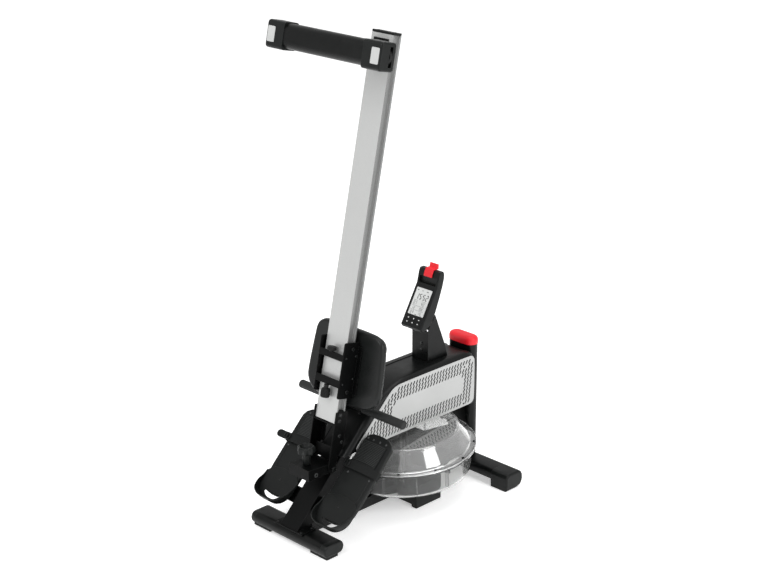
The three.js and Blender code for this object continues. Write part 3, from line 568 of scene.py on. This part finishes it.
# ------------------------------------------------------------------ tank: rings, bolts, inner ribs, shaft collar
bowl = build("tank_bowl_clear", [(*lathe([(0.001, -94), (196, -94), (200, -94), (208, -93), (216, -90), (220.5, -85.5), (222.8, -80), (224, -70), (224, -67), (224, -16), (224, -13), (225.5, -9.5), (229, -6), (242, -6), (243, -5), (243, -1.2), (242, -0.2), (220, -0.2), (220, -4), (220, -66), (220, -70), (218.6, -79), (214, -86), (208, -89), (202, -90), (198, -90), (0.001, -90)], 144), TANK)], "base", mat_clear, 42)
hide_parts("tank_bowl")
lid = build("tank_lid_clear", [(*lathe([(10.4, 64.7), (10.4, 68.2), (11, 68.7), (13, 68.7), (180.5, 68.7), (183, 68.7), (186, 67.8), (187.8, 65.2), (190, 59.7), (191.2, 57.9), (220, 15.2), (221.2, 13.4), (224, 10), (230, 6), (242, 6), (243, 5), (243, 1.2), (242, 0.2), (221, 0.2), (218, 10), (216.8, 11.7), (185.2, 57), (184, 58.7), (181, 63), (176, 64.7), (173, 64.7), (13, 64.7), (10.4, 64.7)], 144), TANK)], "base", mat_lid, 42)
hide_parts("tank_lid")
build("tank_flange_bead", [(*lathe([(240.2, 5.9), (240.7, 7.0), (242.3, 7.0), (242.9, 5.9), (240.2, 5.9)], 128), TANK)], "base", mat_clear, 60)
build("tank_gasket", [(*lathe([(225, -0.15), (225, 0.15), (241, 0.15), (241, -0.15), (225, -0.15)], 128), TANK)], "base", mat_buffer, 60)
bolt_spots = [TANK @ Matrix.Rotation(rad(10 + 30 * k), 4, "Z") @ at(235.6, 0, 6.0) for k in range(12)]
screws("tank_bolts", bolt_spots, "base", mat_dark, 4.6, 3.0)
build("tank_nuts", [(*ring_skin([[(4.6 * math.cos(rad(60 * i)), 4.6 * math.sin(rad(60 * i)), z) for i in range(6)] for z in (-9.6, -5.8)]), M @ at(0, 0, -6.2)) for M in bolt_spots], "base", mat_bolt, 30)
ribs = []
for k in range(12):
    a = Matrix.Rotation(rad(25 + 30 * k), 4, "Z")
    ribs.append((*block(203, 219, -1.5, 1.5, -84, -8), TANK @ a))
build("tank_ribs", ribs, "base", mat_clear, 30, 0.6)
build("shaft_collar", [(*lathe([(15.5, 68.9), (15.5, 74), (19, 75), (27, 72), (30, 68.9), (15.5, 68.9)], 48), TANK)], "base", mat_plastic, 50)

# ------------------------------------------------------------------ console: screen, digits, ledge
scr = [(x, t) for x, t in rounded(-34.5, 34.5, 40.5, 134.5, 2.0, 4)]
plate("lcd_bezel", rounded(-38.5, 38.5, 36.8, 138, 4, 6), [scr], 0.15, 1.1, FACE, "console", mat_cover, 0.3)
lcd = plate("lcd_screen", rounded(-34.2, 34.2, 40.8, 134.2, 1.8, 4), [], 0.1, 0.7, FACE, "console", mat_lcd, 0.1)
SEG = {"0": "abcdef", "1": "bc", "2": "abged", "3": "abgcd", "4": "fgbc", "5": "afgcd", "6": "afgedc", "7": "abc", "8": "abcdefg", "9": "abcdfg"}


def digit(ch, x, t, w, h, k):
    """seven-segment figure with its lower left corner at x, t"""
    sl = 0.12 * h
    out = []

    def bar(x0, t0, x1, t1):
        out.append(block(x + x0 + sl * t0 / h, x + x1 + sl * t0 / h, t + t0, t + t1, 0.72, 0.86))

    for s in SEG[ch]:
        if s == "a": bar(k, h - k, w - k, h)
        if s == "g": bar(k, h / 2 - k / 2, w - k, h / 2 + k / 2)
        if s == "d": bar(k, 0, w - k, k)
        if s == "f": bar(0, h / 2 + k * 0.3, k, h - k * 0.3)
        if s == "b": bar(w - k, h / 2 + k * 0.3, w, h - k * 0.3)
        if s == "e": bar(0, k * 0.3, k, h / 2 - k * 0.3)
        if s == "c": bar(w - k, k * 0.3, w, h / 2 - k * 0.3)
    return out


big, soft = [], []
for i, ch in enumerate("1552"):
    big += digit(ch, -25 + 13.4 * i + (1.5 if i > 1 else 0), 95, 9.4, 20, 2.5)
big += [block(1.3, 3.0, 100, 101.8, 0.72, 0.86), block(2.3, 4.0, 107, 108.8, 0.72, 0.86)]
for row, (t, txt, h) in enumerate(((76, "0740", 11), (60, "1208", 9), (46, "0315", 8))):
    for i, ch in enumerate(txt):
        soft += digit(ch, -27 + 8.2 * i + (19 if i > 1 else 0) * 0.9, t, 5.4, h, 1.2)
for x, t, w, h in ((-28, 124, 6, 3), (-8, 124.5, 5, 2.4), (12, 124.5, 9, 2.4), (-29, 90, 18, 1), (6, 90, 20, 1), (-29, 72, 55, 0.8), (-29, 57, 55, 0.8), (-26, 42.3, 7, 1.8), (-4, 42.3, 7, 1.8), (18, 42.3, 8, 1.8)):
    soft.append(block(x, x + w, t, t + h, 0.72, 0.86))
build("lcd_digits", [(*b, FACE) for b in big], "console", mat_ink, 0)
build("lcd_small_digits", [(*b, FACE) for b in soft], "console", mat_ink_soft, 0)
plate("key_surround", rounded(-36, 36, 8.0, 34.8, 4, 6), [rounded(x - 5.2, x + 5.2, t - 3.8, t + 3.8, 1.5, 4) for t in (28.4, 14.4) for x in (-23.5, 0, 23.5)], 0.1, 0.7, FACE, "console", mat_cover, 0.2)
for k in range(6):
    x, t = (-23.5, 0, 23.5)[k % 3], (28.4, 14.4)[k // 3]
    plate(f"key_mark_{k + 1}", rounded(x - 2.4, x + 2.4, t - 1.7, t + 1.7, 1.2, 4), [], 1.3, 1.75, FACE, f"button_{k + 1}", mat_mark, 0.1)
# console pivot bolts
hexbolts("bracket_bolts", [out_y(7, 589.6, 520, -1), out_y(7, 589.6, 497, -1)], "base", 4.2, 3.0)

# round pivot boss in the fork of the bracket
build("pivot_boss", [(*lathe([(0.001, -33.2), (15.5, -33.2), (17, -31.8), (17, 31.8), (15.5, 33.2), (0.001, 33.2)], 48), BASE @ at(0, 607, 584) @ Matrix.Rotation(rad(90), 4, "Y"))], "console", mat_plastic, 40)

# ------------------------------------------------------------------ footplates
for side, S in (("right", Matrix.Identity(4)), ("left", MIRROR)):
    F = FOOT @ S
    ribs = []
    for k in range(15):
        s0 = -76 + 4.8 * k
        top = [(90 + 92 * i / 16, s0 + 2.4 * math.sin(math.pi * i / 16)) for i in range(17)]
        rings = [[(x, s - 0.9, 2.9), (x, s - 0.5, 3.7), (x, s + 0.5, 3.7), (x, s + 0.9, 2.9)] for x, s in top]
        ribs.append((*ring_skin(rings), F))
    build("tread_ribs_" + side, ribs, "base", mat_tread, 50)
    edge = [(88, 184, -80, -6)]
    plate("tread_frame_" + side, rounded(85.5, 186.5, -82.5, -3.5, 5, 6), [rounded(88.2, 183.8, -79.8, -6.2, 3.5, 6)], 0.2, 3.6, F, "base", mat_plastic, 0.5)
    screws("tread_screws_" + side, [F @ at(x, 5, 0.1) for x in (96, 120, 150, 177)] + [F @ at(94, -121, 0.1), F @ at(190, -121, 0.1)], "base", mat_screw, 3.6, 1.6)
    # raised rim line beside the outer edge
    path = [(191, -118), (191.5, -150), (191.5, -185), (187, -205), (183, -222), (181, -240)]
    rings = [[(x - 1.1, s, 0.1), (x - 0.7, s, 1.2), (x + 0.7, s, 1.2), (x + 1.1, s, 0.1)] for x, s in path]
    build("edge_rib_" + side, [(*ring_skin(rings), F)], "base", mat_plastic, 50)

# heel cups: a swept wall that climbs round the heel, with a rolled lip
def heel(side, S):
    F = FOOT @ S
    body = "heel_" + side
    x0, x1, sb, r = 63.5, 210.5, -315.5, 54
    path = []
    for i in range(9):
        path.append((x0, -224 - (262 - 224) * i / 8 + 0.0))
    for i in range(1, 13):
        a = rad(180 + 90 * i / 12)
        path.append((x0 + r + r * math.cos(a), sb + r + r * math.sin(a)))
    for i in range(1, 6):
        path.append((x0 + r + (x1 - x0 - 2 * r) * i / 6, sb))
    for i in range(0, 13):
        a = rad(270 + 90 * i / 12)
        path.append((x1 - r + r * math.cos(a), sb + r + r * math.sin(a)))
    for i in range(1, 9):
        path.append((x1, -262 + (262 - 224) * i / 8))
    n = len(path)
    rings = []
    for i, (x, s) in enumerate(path):
        a, b = path[max(i - 1, 0)], path[min(i + 1, n - 1)]
        t = Vector((b[0] - a[0], b[1] - a[1])).normalized()
        nx, ns = t.y, -t.x  # outwards
        u = min(i, n - 1 - i) / (n / 2)
        rise = u * u * (3 - 2 * u)
        rise = min(1, rise * 1.6)
        top = 5 + 27 * rise
        low = 0.5
        w = 2.0
        prof = [(-w, low), (-w, top * 0.5), (-w, top - 1.5), (-w * 0.4, top), (w * 0.6, top + 0.3), (w * 1.1, top - 0.8), (w, top - 2.5), (w, top * 0.5), (w, low)]
        rings.append([(x - nx * p, s - ns * p, q) for p, q in prof])
    v, f = ring_skin(rings)
    base = [(x0 + 1, -224), *[(x, s) for x, s in path[8:-8]], (x1 - 1, -224), (190, -206), (150, -199), (120, -199), (82, -206)]
    wall = build("heel_wall_" + side, [(v, f, F)], body, mat_plastic, 55)
    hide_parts("heel_cup_" + side)
    # the floor ends short of the lip at the back of the heel and leaves a grip gap
    hole = [(96, -290), (108, -301), (125, -307), (149, -307), (166, -301), (178, -290), (166, -286.5), (108, -286.5)]
    plate("heel_floor_" + side, base, [smooth_loop(hole, 2)], 0.5, 3.2, F, body, mat_plastic, 0.6)
    screws("heel_screw_" + side, [F @ at(137, -238, 3.0)], body, mat_bolt, 3.6, 1.6)


heel("right", Matrix.Identity(4))
heel("left", MIRROR)


# foot straps with buckles
def ribbon(path, half_width, thick, mid, M):
    rings = []
    n = len(path)
    for i, (x, h) in enumerate(path):
        a, b = path[max(i - 1, 0)], path[min(i + 1, n - 1)]
        t = Vector((b[0] - a[0], b[1] - a[1])).normalized()
        nx, nh = -t.y, t.x
        ring = []
        for ds, k in ((-half_width, -0.5), (-half_width, 0.5), (-half_width + 1.2, 0.62), (0, 0.62), (half_width - 1.2, 0.62), (half_width, 0.5), (half_width, -0.5), (0, -0.55)):
            ring.append((x + nx * k * thick, mid + ds, h + nh * k * thick))
        rings.append(ring)
    return (*ring_skin(rings), M)


def fine(path, per=5):
    out = []
    P = [path[0], *path, path[-1]]
    for i in range(1, len(P) - 2):
        for k in range(per):
            t = k / per
            p0, p1, p2, p3 = (Vector(P[i - 1]), Vector(P[i]), Vector(P[i + 1]), Vector(P[i + 2]))
            out.append(tuple(0.5 * (2 * p1 + (p2 - p0) * t + (2 * p0 - 5 * p1 + 4 * p2 - p3) * t * t + (3 * p1 - p0 - 3 * p2 + p3) * t ** 3)))
    out.append(path[-1])
    return out


STRAP_PATH = [(66.2, -13), (66.2, -6), (66.8, 1), (71, 7.5), (90, 13), (113, 16.5), (138, 17.5), (163, 16.5), (186, 13), (204, 7.5), (208.6, 1), (209, -6), (209, -13)]
MID = -98.0
ring_path = [(16.5 * math.cos(rad(10 * i)), 13.5 * math.sin(rad(10 * i))) for i in range(36)]


def buckle(cx, cs, n0, M, tilt=0):
    B = M @ at(cx, cs, n0) @ Matrix.Rotation(rad(tilt), 4, "Y")
    outer = [(x, s) for x, s in ring_path]
    inner = [(x * 0.74, s * 0.68) for x, s in ring_path]
    rings = []
    for i in range(36):
        (ox, os_), (ix, is_) = outer[i], inner[i]
        rings.append([(ox, os_, 0), (ox * 0.98, os_ * 0.98, 2.6), (ix * 1.05, is_ * 1.05, 3.0), (ix, is_, 0)])
    v = [p for r in rings for p in r]
    f = []
    for k in range(36):
        for j in range(4):
            a, b = k * 4 + j, k * 4 + (j + 1) % 4
            c, d = ((k + 1) % 36) * 4 + (j + 1) % 4, ((k + 1) % 36) * 4 + j
            f.append((a, b, c, d))
    return [(v, f, B), (*block(-2.2, 2.2, -12.5, 12.5, 0.4, 3.4), B)]


for side, S in (("right", Matrix.Identity(4)), ("left", MIRROR)):
    F = FOOT @ S
    parts = [ribbon(fine(STRAP_PATH), 14, 2.3, MID, F)]
    if side == "left":
        tail = [(196, 14.5), (206, 12.5), (218, 10.8), (232, 10.2), (243, 11), (250, 12.6)]
        rings_tail = []
        tp = fine(tail)
        for i, (x, h) in enumerate(tp):
            w = 13 if x < 238 else max(3.0, math.sqrt(max(0, 13 * 13 - (x - 238) ** 2 * 1.1)))
            rings_tail.append([(x, MID - w, h - 1.1), (x, MID - w, h + 1.1), (x, MID, h + 1.3), (x, MID + w, h + 1.1), (x, MID + w, h - 1.1), (x, MID, h - 1.2)])
        parts.append((*ring_skin(rings_tail), F))
    o = build("strap_" + side, parts, "base", mat_web_foot, 50)
    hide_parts("foot_strap_" + side)
    if side == "right":
        build("buckle_right", buckle(84, MID, 13.4, F, -17), "base", mat_plastic, 40, 0.3)
    else:
        build("buckle_left", buckle(200, MID, 14.6, F, 10), "base", mat_plastic, 40, 0.3)
    st = []
    for x, h in fine(STRAP_PATH)[10:-10:1]:
        for ds in (-11.6, 11.6):
            st.append((*block(x - 0.9, x + 0.5, MID + ds - 0.25, MID + ds + 0.25, h + 1.15, h + 1.55), F))
    build("strap_stitches_" + side, st, "base", mat_ink, 0)

# ------------------------------------------------------------------ knob: lobed head with a dished top
K = BASE @ at(0, 72, 0)
seg = 112


def knob_ring(r, z, lobe):
    out = []
    for i in range(seg):
        a = 2 * math.pi * i / seg
        k = math.cos(7 * a)
        out.append(((r + lobe * k) * math.cos(a), (r + lobe * k) * math.sin(a), z))
    return out


rings = [knob_ring(5, 226, 0), knob_ring(5, 250.6, 0), knob_ring(12, 250.7, 0), knob_ring(12.5, 254, 0), knob_ring(14, 276, 0.2), knob_ring(15, 285, 0.4), knob_ring(22, 287.2, 1.6), knob_ring(25.5, 289.5, 2.6),
         knob_ring(26.8, 294, 3.0), knob_ring(26.8, 306, 3.0), knob_ring(25.6, 310.5, 2.6), knob_ring(23.2, 312.8, 1.8), knob_ring(21, 312.4, 0.9), knob_ring(19, 309.5, 0.2), knob_ring(16, 306, 0), knob_ring(11, 303.8, 0), knob_ring(4, 303, 0)]
kn = build("knob", [(*ring_skin(rings), K)], "knob", mat_plastic, 60)
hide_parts("lock_knob")

# ------------------------------------------------------------------ rail dressing
plate("rail_slot_trim_right", [(-0.3, 0), (0.3, 0), (0.3, 1234), (-0.3, 1234)], [], 46.52, 46.7, RAIL @ Matrix(((0, 0, 1, 0), (1, 0, 0, 3), (0, 1, 0, 1), (0, 0, 0, 1))), "folding_rail", mat_rail, 0.02)
pads = []
for sx in (1, -1):
    M = RAIL @ (Matrix.Identity(4) if sx > 0 else MIRROR)
    o = plate("foot_pad_" + ("right" if sx > 0 else "left"), rounded(208, 240, 1162, 1210, 4, 6), [], 249.4, 251.0, M @ Matrix(((1, 0, 0, 0), (0, 0, -1, 0), (0, 1, 0, 0), (0, 0, 0, 1))), "folding_rail", mat_pad, 0.5)
screws("cap_screws", [RAIL @ at(x, 0, 1240) @ at(0, d, 3.9) for x, d in ((-36, 18), (36, 18))], "folding_rail", mat_bolt, 3.2, 1.2)
hexbolts("bracket_rail_bolts", [out_x(51, d, s, 1, RAIL) for d, s in ((12, 10), (12, 30), (22, -40), (36, -62))] + [out_x(-51, d, s, -1, RAIL) for d, s in ((12, 10), (12, 30), (22, -40), (36, -62))], "folding_rail", 4.6, 3.2)
screws("rail_end_screws", [RAIL @ at(x, d, -6.1) @ Matrix.Rotation(math.pi, 4, "X") for x, d in ((-30, 10), (30, 10), (-30, 32), (30, 32))], "folding_rail", mat_steel, 3.6, 2.0)
build("leg_flange_bolts", [(*ring_skin([[(5 * math.cos(rad(60 * i)), 5 * math.sin(rad(60 * i)), z) for i in range(6)] for z in (0, 3.5)]), RAIL @ at(x, -4.4, s) @ Matrix.Rotation(rad(90), 4, "X")) for x in (-22, 22) for s in (1153, 1218)], "folding_rail", mat_bolt, 30)

# ------------------------------------------------------------------ stop plate on the post's head, under the folded rail
plate("rail_stop_plate", rounded(-40, 34, 246, 293, 5, 5), [], 0, 5, BASE @ Matrix(((1, 0, 0, 0), (0, 0, 1, 151), (0, 1, 0, 0), (0, 0, 0, 1))), "base", mat_post, 0.8)
# ------------------------------------------------------------------ hinge box bolts
screws("box_bolts", [out_x(46, 71, 226, 1), out_x(-46, 71, 226, -1)], "base", mat_screw, 7.5, 0.6)
screws("saddle_screws", [BASE @ at(x, y, 53.6) for x in (-55, 55) for y in (-6, 38)], "base", mat_bolt, 4.4, 2.2)
screws("carriage_screws", [out_x(56, d, s, 1, RAIL) for d, s in ((-4, 134), (-4, 219), (38, 150), (38, 225))] + [out_x(-56, d, s, -1, RAIL) for d, s in ((-4, 134), (-4, 219), (38, 150), (38, 225))], "seat", mat_bolt, 4.2, 2.4)
buf = []
for k in range(18):
    a = Matrix.Rotation(rad(20 * k), 4, "Z")
    buf.append((*block(13.6, 15.2, -1.2, 1.2, 82, 105), RAIL @ at(0, -18, 0) @ a))
build("buffer_ribs", buf, "seat", mat_buffer, 30, 0.4)

# ------------------------------------------------------------------ seat
EDGE = [(60, 54), (116, 59), (143, 73), (159, 94), (165, 120), (154, 262), (148, 285), (133, 299), (108, 306)]
loop = [(0, 52), *EDGE, (0, 307), *[(-x, s) for x, s in EDGE[::-1]]]
loop = smooth_loop(loop, 2)
mid_s = 182


def shrink(pts, k):
    out = []
    for x, s in pts:
        v = Vector((x, s - mid_s))
        v = v * (1 - k / v.length)
        out.append((v.x, v.y + mid_s))
    return out


def seat_ring(k, d):
    return [(x, d, s) for x, s in shrink(loop, k)]


rings = [seat_ring(9, 58.6), seat_ring(5, 60), seat_ring(4, 66), seat_ring(4, 78), seat_ring(8, 85), seat_ring(16, 87.5)]
cushion = build("seat_cushion", [(*ring_skin(rings), RAIL)], "seat", mat_vinyl, 0)
cushion.parent = None
cushion.matrix_world = Matrix.Identity(4)
rest = np.array([v.co for v in cushion.data.vertices])
rm = cushion.modifiers.new("remesh", "REMESH")
rm.mode = "VOXEL"
rm.voxel_size = 0.006
dg = bpy.context.evaluated_depsgraph_get()
mesh = bpy.data.meshes.new_from_object(cushion.evaluated_get(dg))
old = cushion.data
cushion.modifiers.clear()
cushion.data = mesh
start = np.array([v.co for v in mesh.vertices])
inv = np.array(RAIL.inverted())
local = start @ inv[:3, :3].T + inv[:3, 3]
vg = cushion.vertex_groups.new(name="pin")
vg.add([int(i) for i in np.where(local[:, 1] < 63)[0]], 1.0, "REPLACE")
cloth = cushion.modifiers.new("cloth", "CLOTH")
st = cloth.settings
st.use_pressure = True
st.uniform_pressure_force = 4
st.effector_weights.gravity = 0
st.quality = 6
st.vertex_group_mass = "pin"
st.tension_stiffness = 30
st.compression_stiffness = 30
st.bending_stiffness = 2
sc = bpy.context.scene
sc.frame_start, sc.frame_end = 1, 20
cloth.point_cache.frame_start, cloth.point_cache.frame_end = 1, 20
for f in range(1, 21):
    sc.frame_set(f)
done = bpy.data.meshes.new_from_object(cushion.evaluated_get(bpy.context.evaluated_depsgraph_get()))
end = np.array([v.co for v in done.vertices])
move = end - start
size = np.linalg.norm(move, axis=1)
cap = 0.0065
end = start + move * np.minimum(1, cap / np.maximum(size, 1e-9))[:, None]
loc = end @ inv[:3, :3].T + inv[:3, 3]
# two shallow dishes for the sitter, deeper towards the middle of each side
w = np.clip((loc[:, 1] - 70) / 16, 0, 1)
dish = 5.5 * np.exp(-(((np.abs(loc[:, 0]) - 62) / 46) ** 2) - (((loc[:, 2] - 190) / 70) ** 2))
groove = 4.0 * np.exp(-((loc[:, 0] / 13) ** 2)) * np.clip(1 - np.abs(loc[:, 2] - 182) / 120, 0, 1)
loc[:, 1] -= w * (dish + groove)
M = np.array(RAIL)
end = loc @ M[:3, :3].T + M[:3, 3]
done.vertices.foreach_set("co", end.astype(np.float32).ravel())
cushion.modifiers.clear()
cushion.vertex_groups.clear()
cushion.data = done
sc.frame_set(1)
done.materials.clear()
done.materials.append(mat_vinyl)
for f in done.polygons:
    f.use_smooth = True
sm = cushion.modifiers.new("relax", "SMOOTH")
sm.factor = 0.5
sm.iterations = 6
sub = cushion.modifiers.new("sub", "SUBSURF")
sub.levels = sub.render_levels = 1
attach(cushion, "seat")
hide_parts("seat_pad")
# hard shell under the cushion, with a rolled rim and a welt
rings = [seat_ring(14, 49.4), seat_ring(9, 49.0), seat_ring(5.5, 50.2), seat_ring(2.6, 53), seat_ring(1.0, 57), seat_ring(0.6, 61.5), seat_ring(3.4, 61.8), seat_ring(4.4, 57), seat_ring(14, 52.4)]
build("seat_shell", [(*ring_skin(rings), RAIL)], "seat", mat_shell, 60)
welt = []
wl = shrink(loop, 1.2)
for i, (x, s) in enumerate(wl):
    a, b = wl[i - 1], wl[(i + 1) % len(wl)]
    t = Vector((b[0] - a[0], 0, b[1] - a[1])).normalized()
    nrm = t.cross(Vector((0, 1, 0)))
    welt.append([tuple(Vector((x, 62.6, s)) + nrm * (1.5 * math.cos(rad(60 * k))) + Vector((0, 1.5 * math.sin(rad(60 * k)), 0))) for k in range(6)])
welt.append(welt[0])
build("seat_welt", [(*ring_skin(welt, caps=False), RAIL)], "seat", mat_vinyl, 70)

# ------------------------------------------------------------------ stage, light, camera
bm = bmesh.new()
size = 150.0
bmesh.ops.create_grid(bm, x_segments=8, y_segments=8, size=size)
mesh = bpy.data.meshes.new("floor")
bm.to_mesh(mesh)
bm.free()
floor = bpy.data.objects.new("floor", mesh)
bpy.context.scene.collection.objects.link(floor)
floor.location = (0, 0, -0.0004)
m, nt, p = tree("floor_white")
v = coords(nt)
nt.links.new(blend_colour(nt, remap(nt, noise(nt, v, 3, 2), 0, 1), (0.93, 0.93, 0.93), (0.95, 0.95, 0.95)), p.inputs["Base Color"])
p.inputs["Roughness"].default_value = 0.9
p.inputs["Specular IOR Level"].default_value = 0.1
p.inputs["Emission Color"].default_value = (1, 1, 1, 1)
p.inputs["Emission Strength"].default_value = 0.42
floor.data.materials.append(m)

world = bpy.data.worlds.new("studio")
bpy.context.scene.world = world
world.use_nodes = True
world.node_tree.nodes["Background"].inputs["Color"].default_value = (1, 1, 1, 1)
world.node_tree.nodes["Background"].inputs["Strength"].default_value = 0.72


def area(name, loc, look, power, size_x, size_y):
    l = bpy.data.lights.new(name, "AREA")
    l.shape = "RECTANGLE"
    l.size, l.size_y = size_x, size_y
    l.energy = power
    o = bpy.data.objects.new(name, l)
    bpy.context.scene.collection.objects.link(o)
    o.location = loc
    o.rotation_euler = (Vector(look) - Vector(loc)).to_track_quat("-Z", "Y").to_euler()
    return o


area("key", (-0.6, -3.2, 3.4), (0, 0, 0.6), 75, 2.2, 2.2)
area("side", (3.6, 0.4, 2.2), (0, 0, 0.6), 60, 1.6, 2.6)
area("top", (0.3, 0.6, 4.2), (0, 0, 0.3), 55, 2.6, 2.6)

cam = bpy.data.cameras.new("camera")
cam.lens = 1703 / 772 * 36
cam.sensor_width = 36
cam.clip_end = 1000
camera = bpy.data.objects.new("camera", cam)
bpy.context.scene.collection.objects.link(camera)
camera.location = (3.6466, -3.2172 + YS / 1000, 2.626)
forward = Vector((-math.sin(rad(45)) * math.cos(rad(20)), math.cos(rad(45)) * math.cos(rad(20)), -math.sin(rad(20))))
camera.rotation_euler = forward.to_track_quat("-Z", "Y").to_euler()
bpy.context.scene.camera = camera
bpy.context.scene.view_settings.view_transform = "Standard"
bpy.context.scene.view_settings.look = "None"
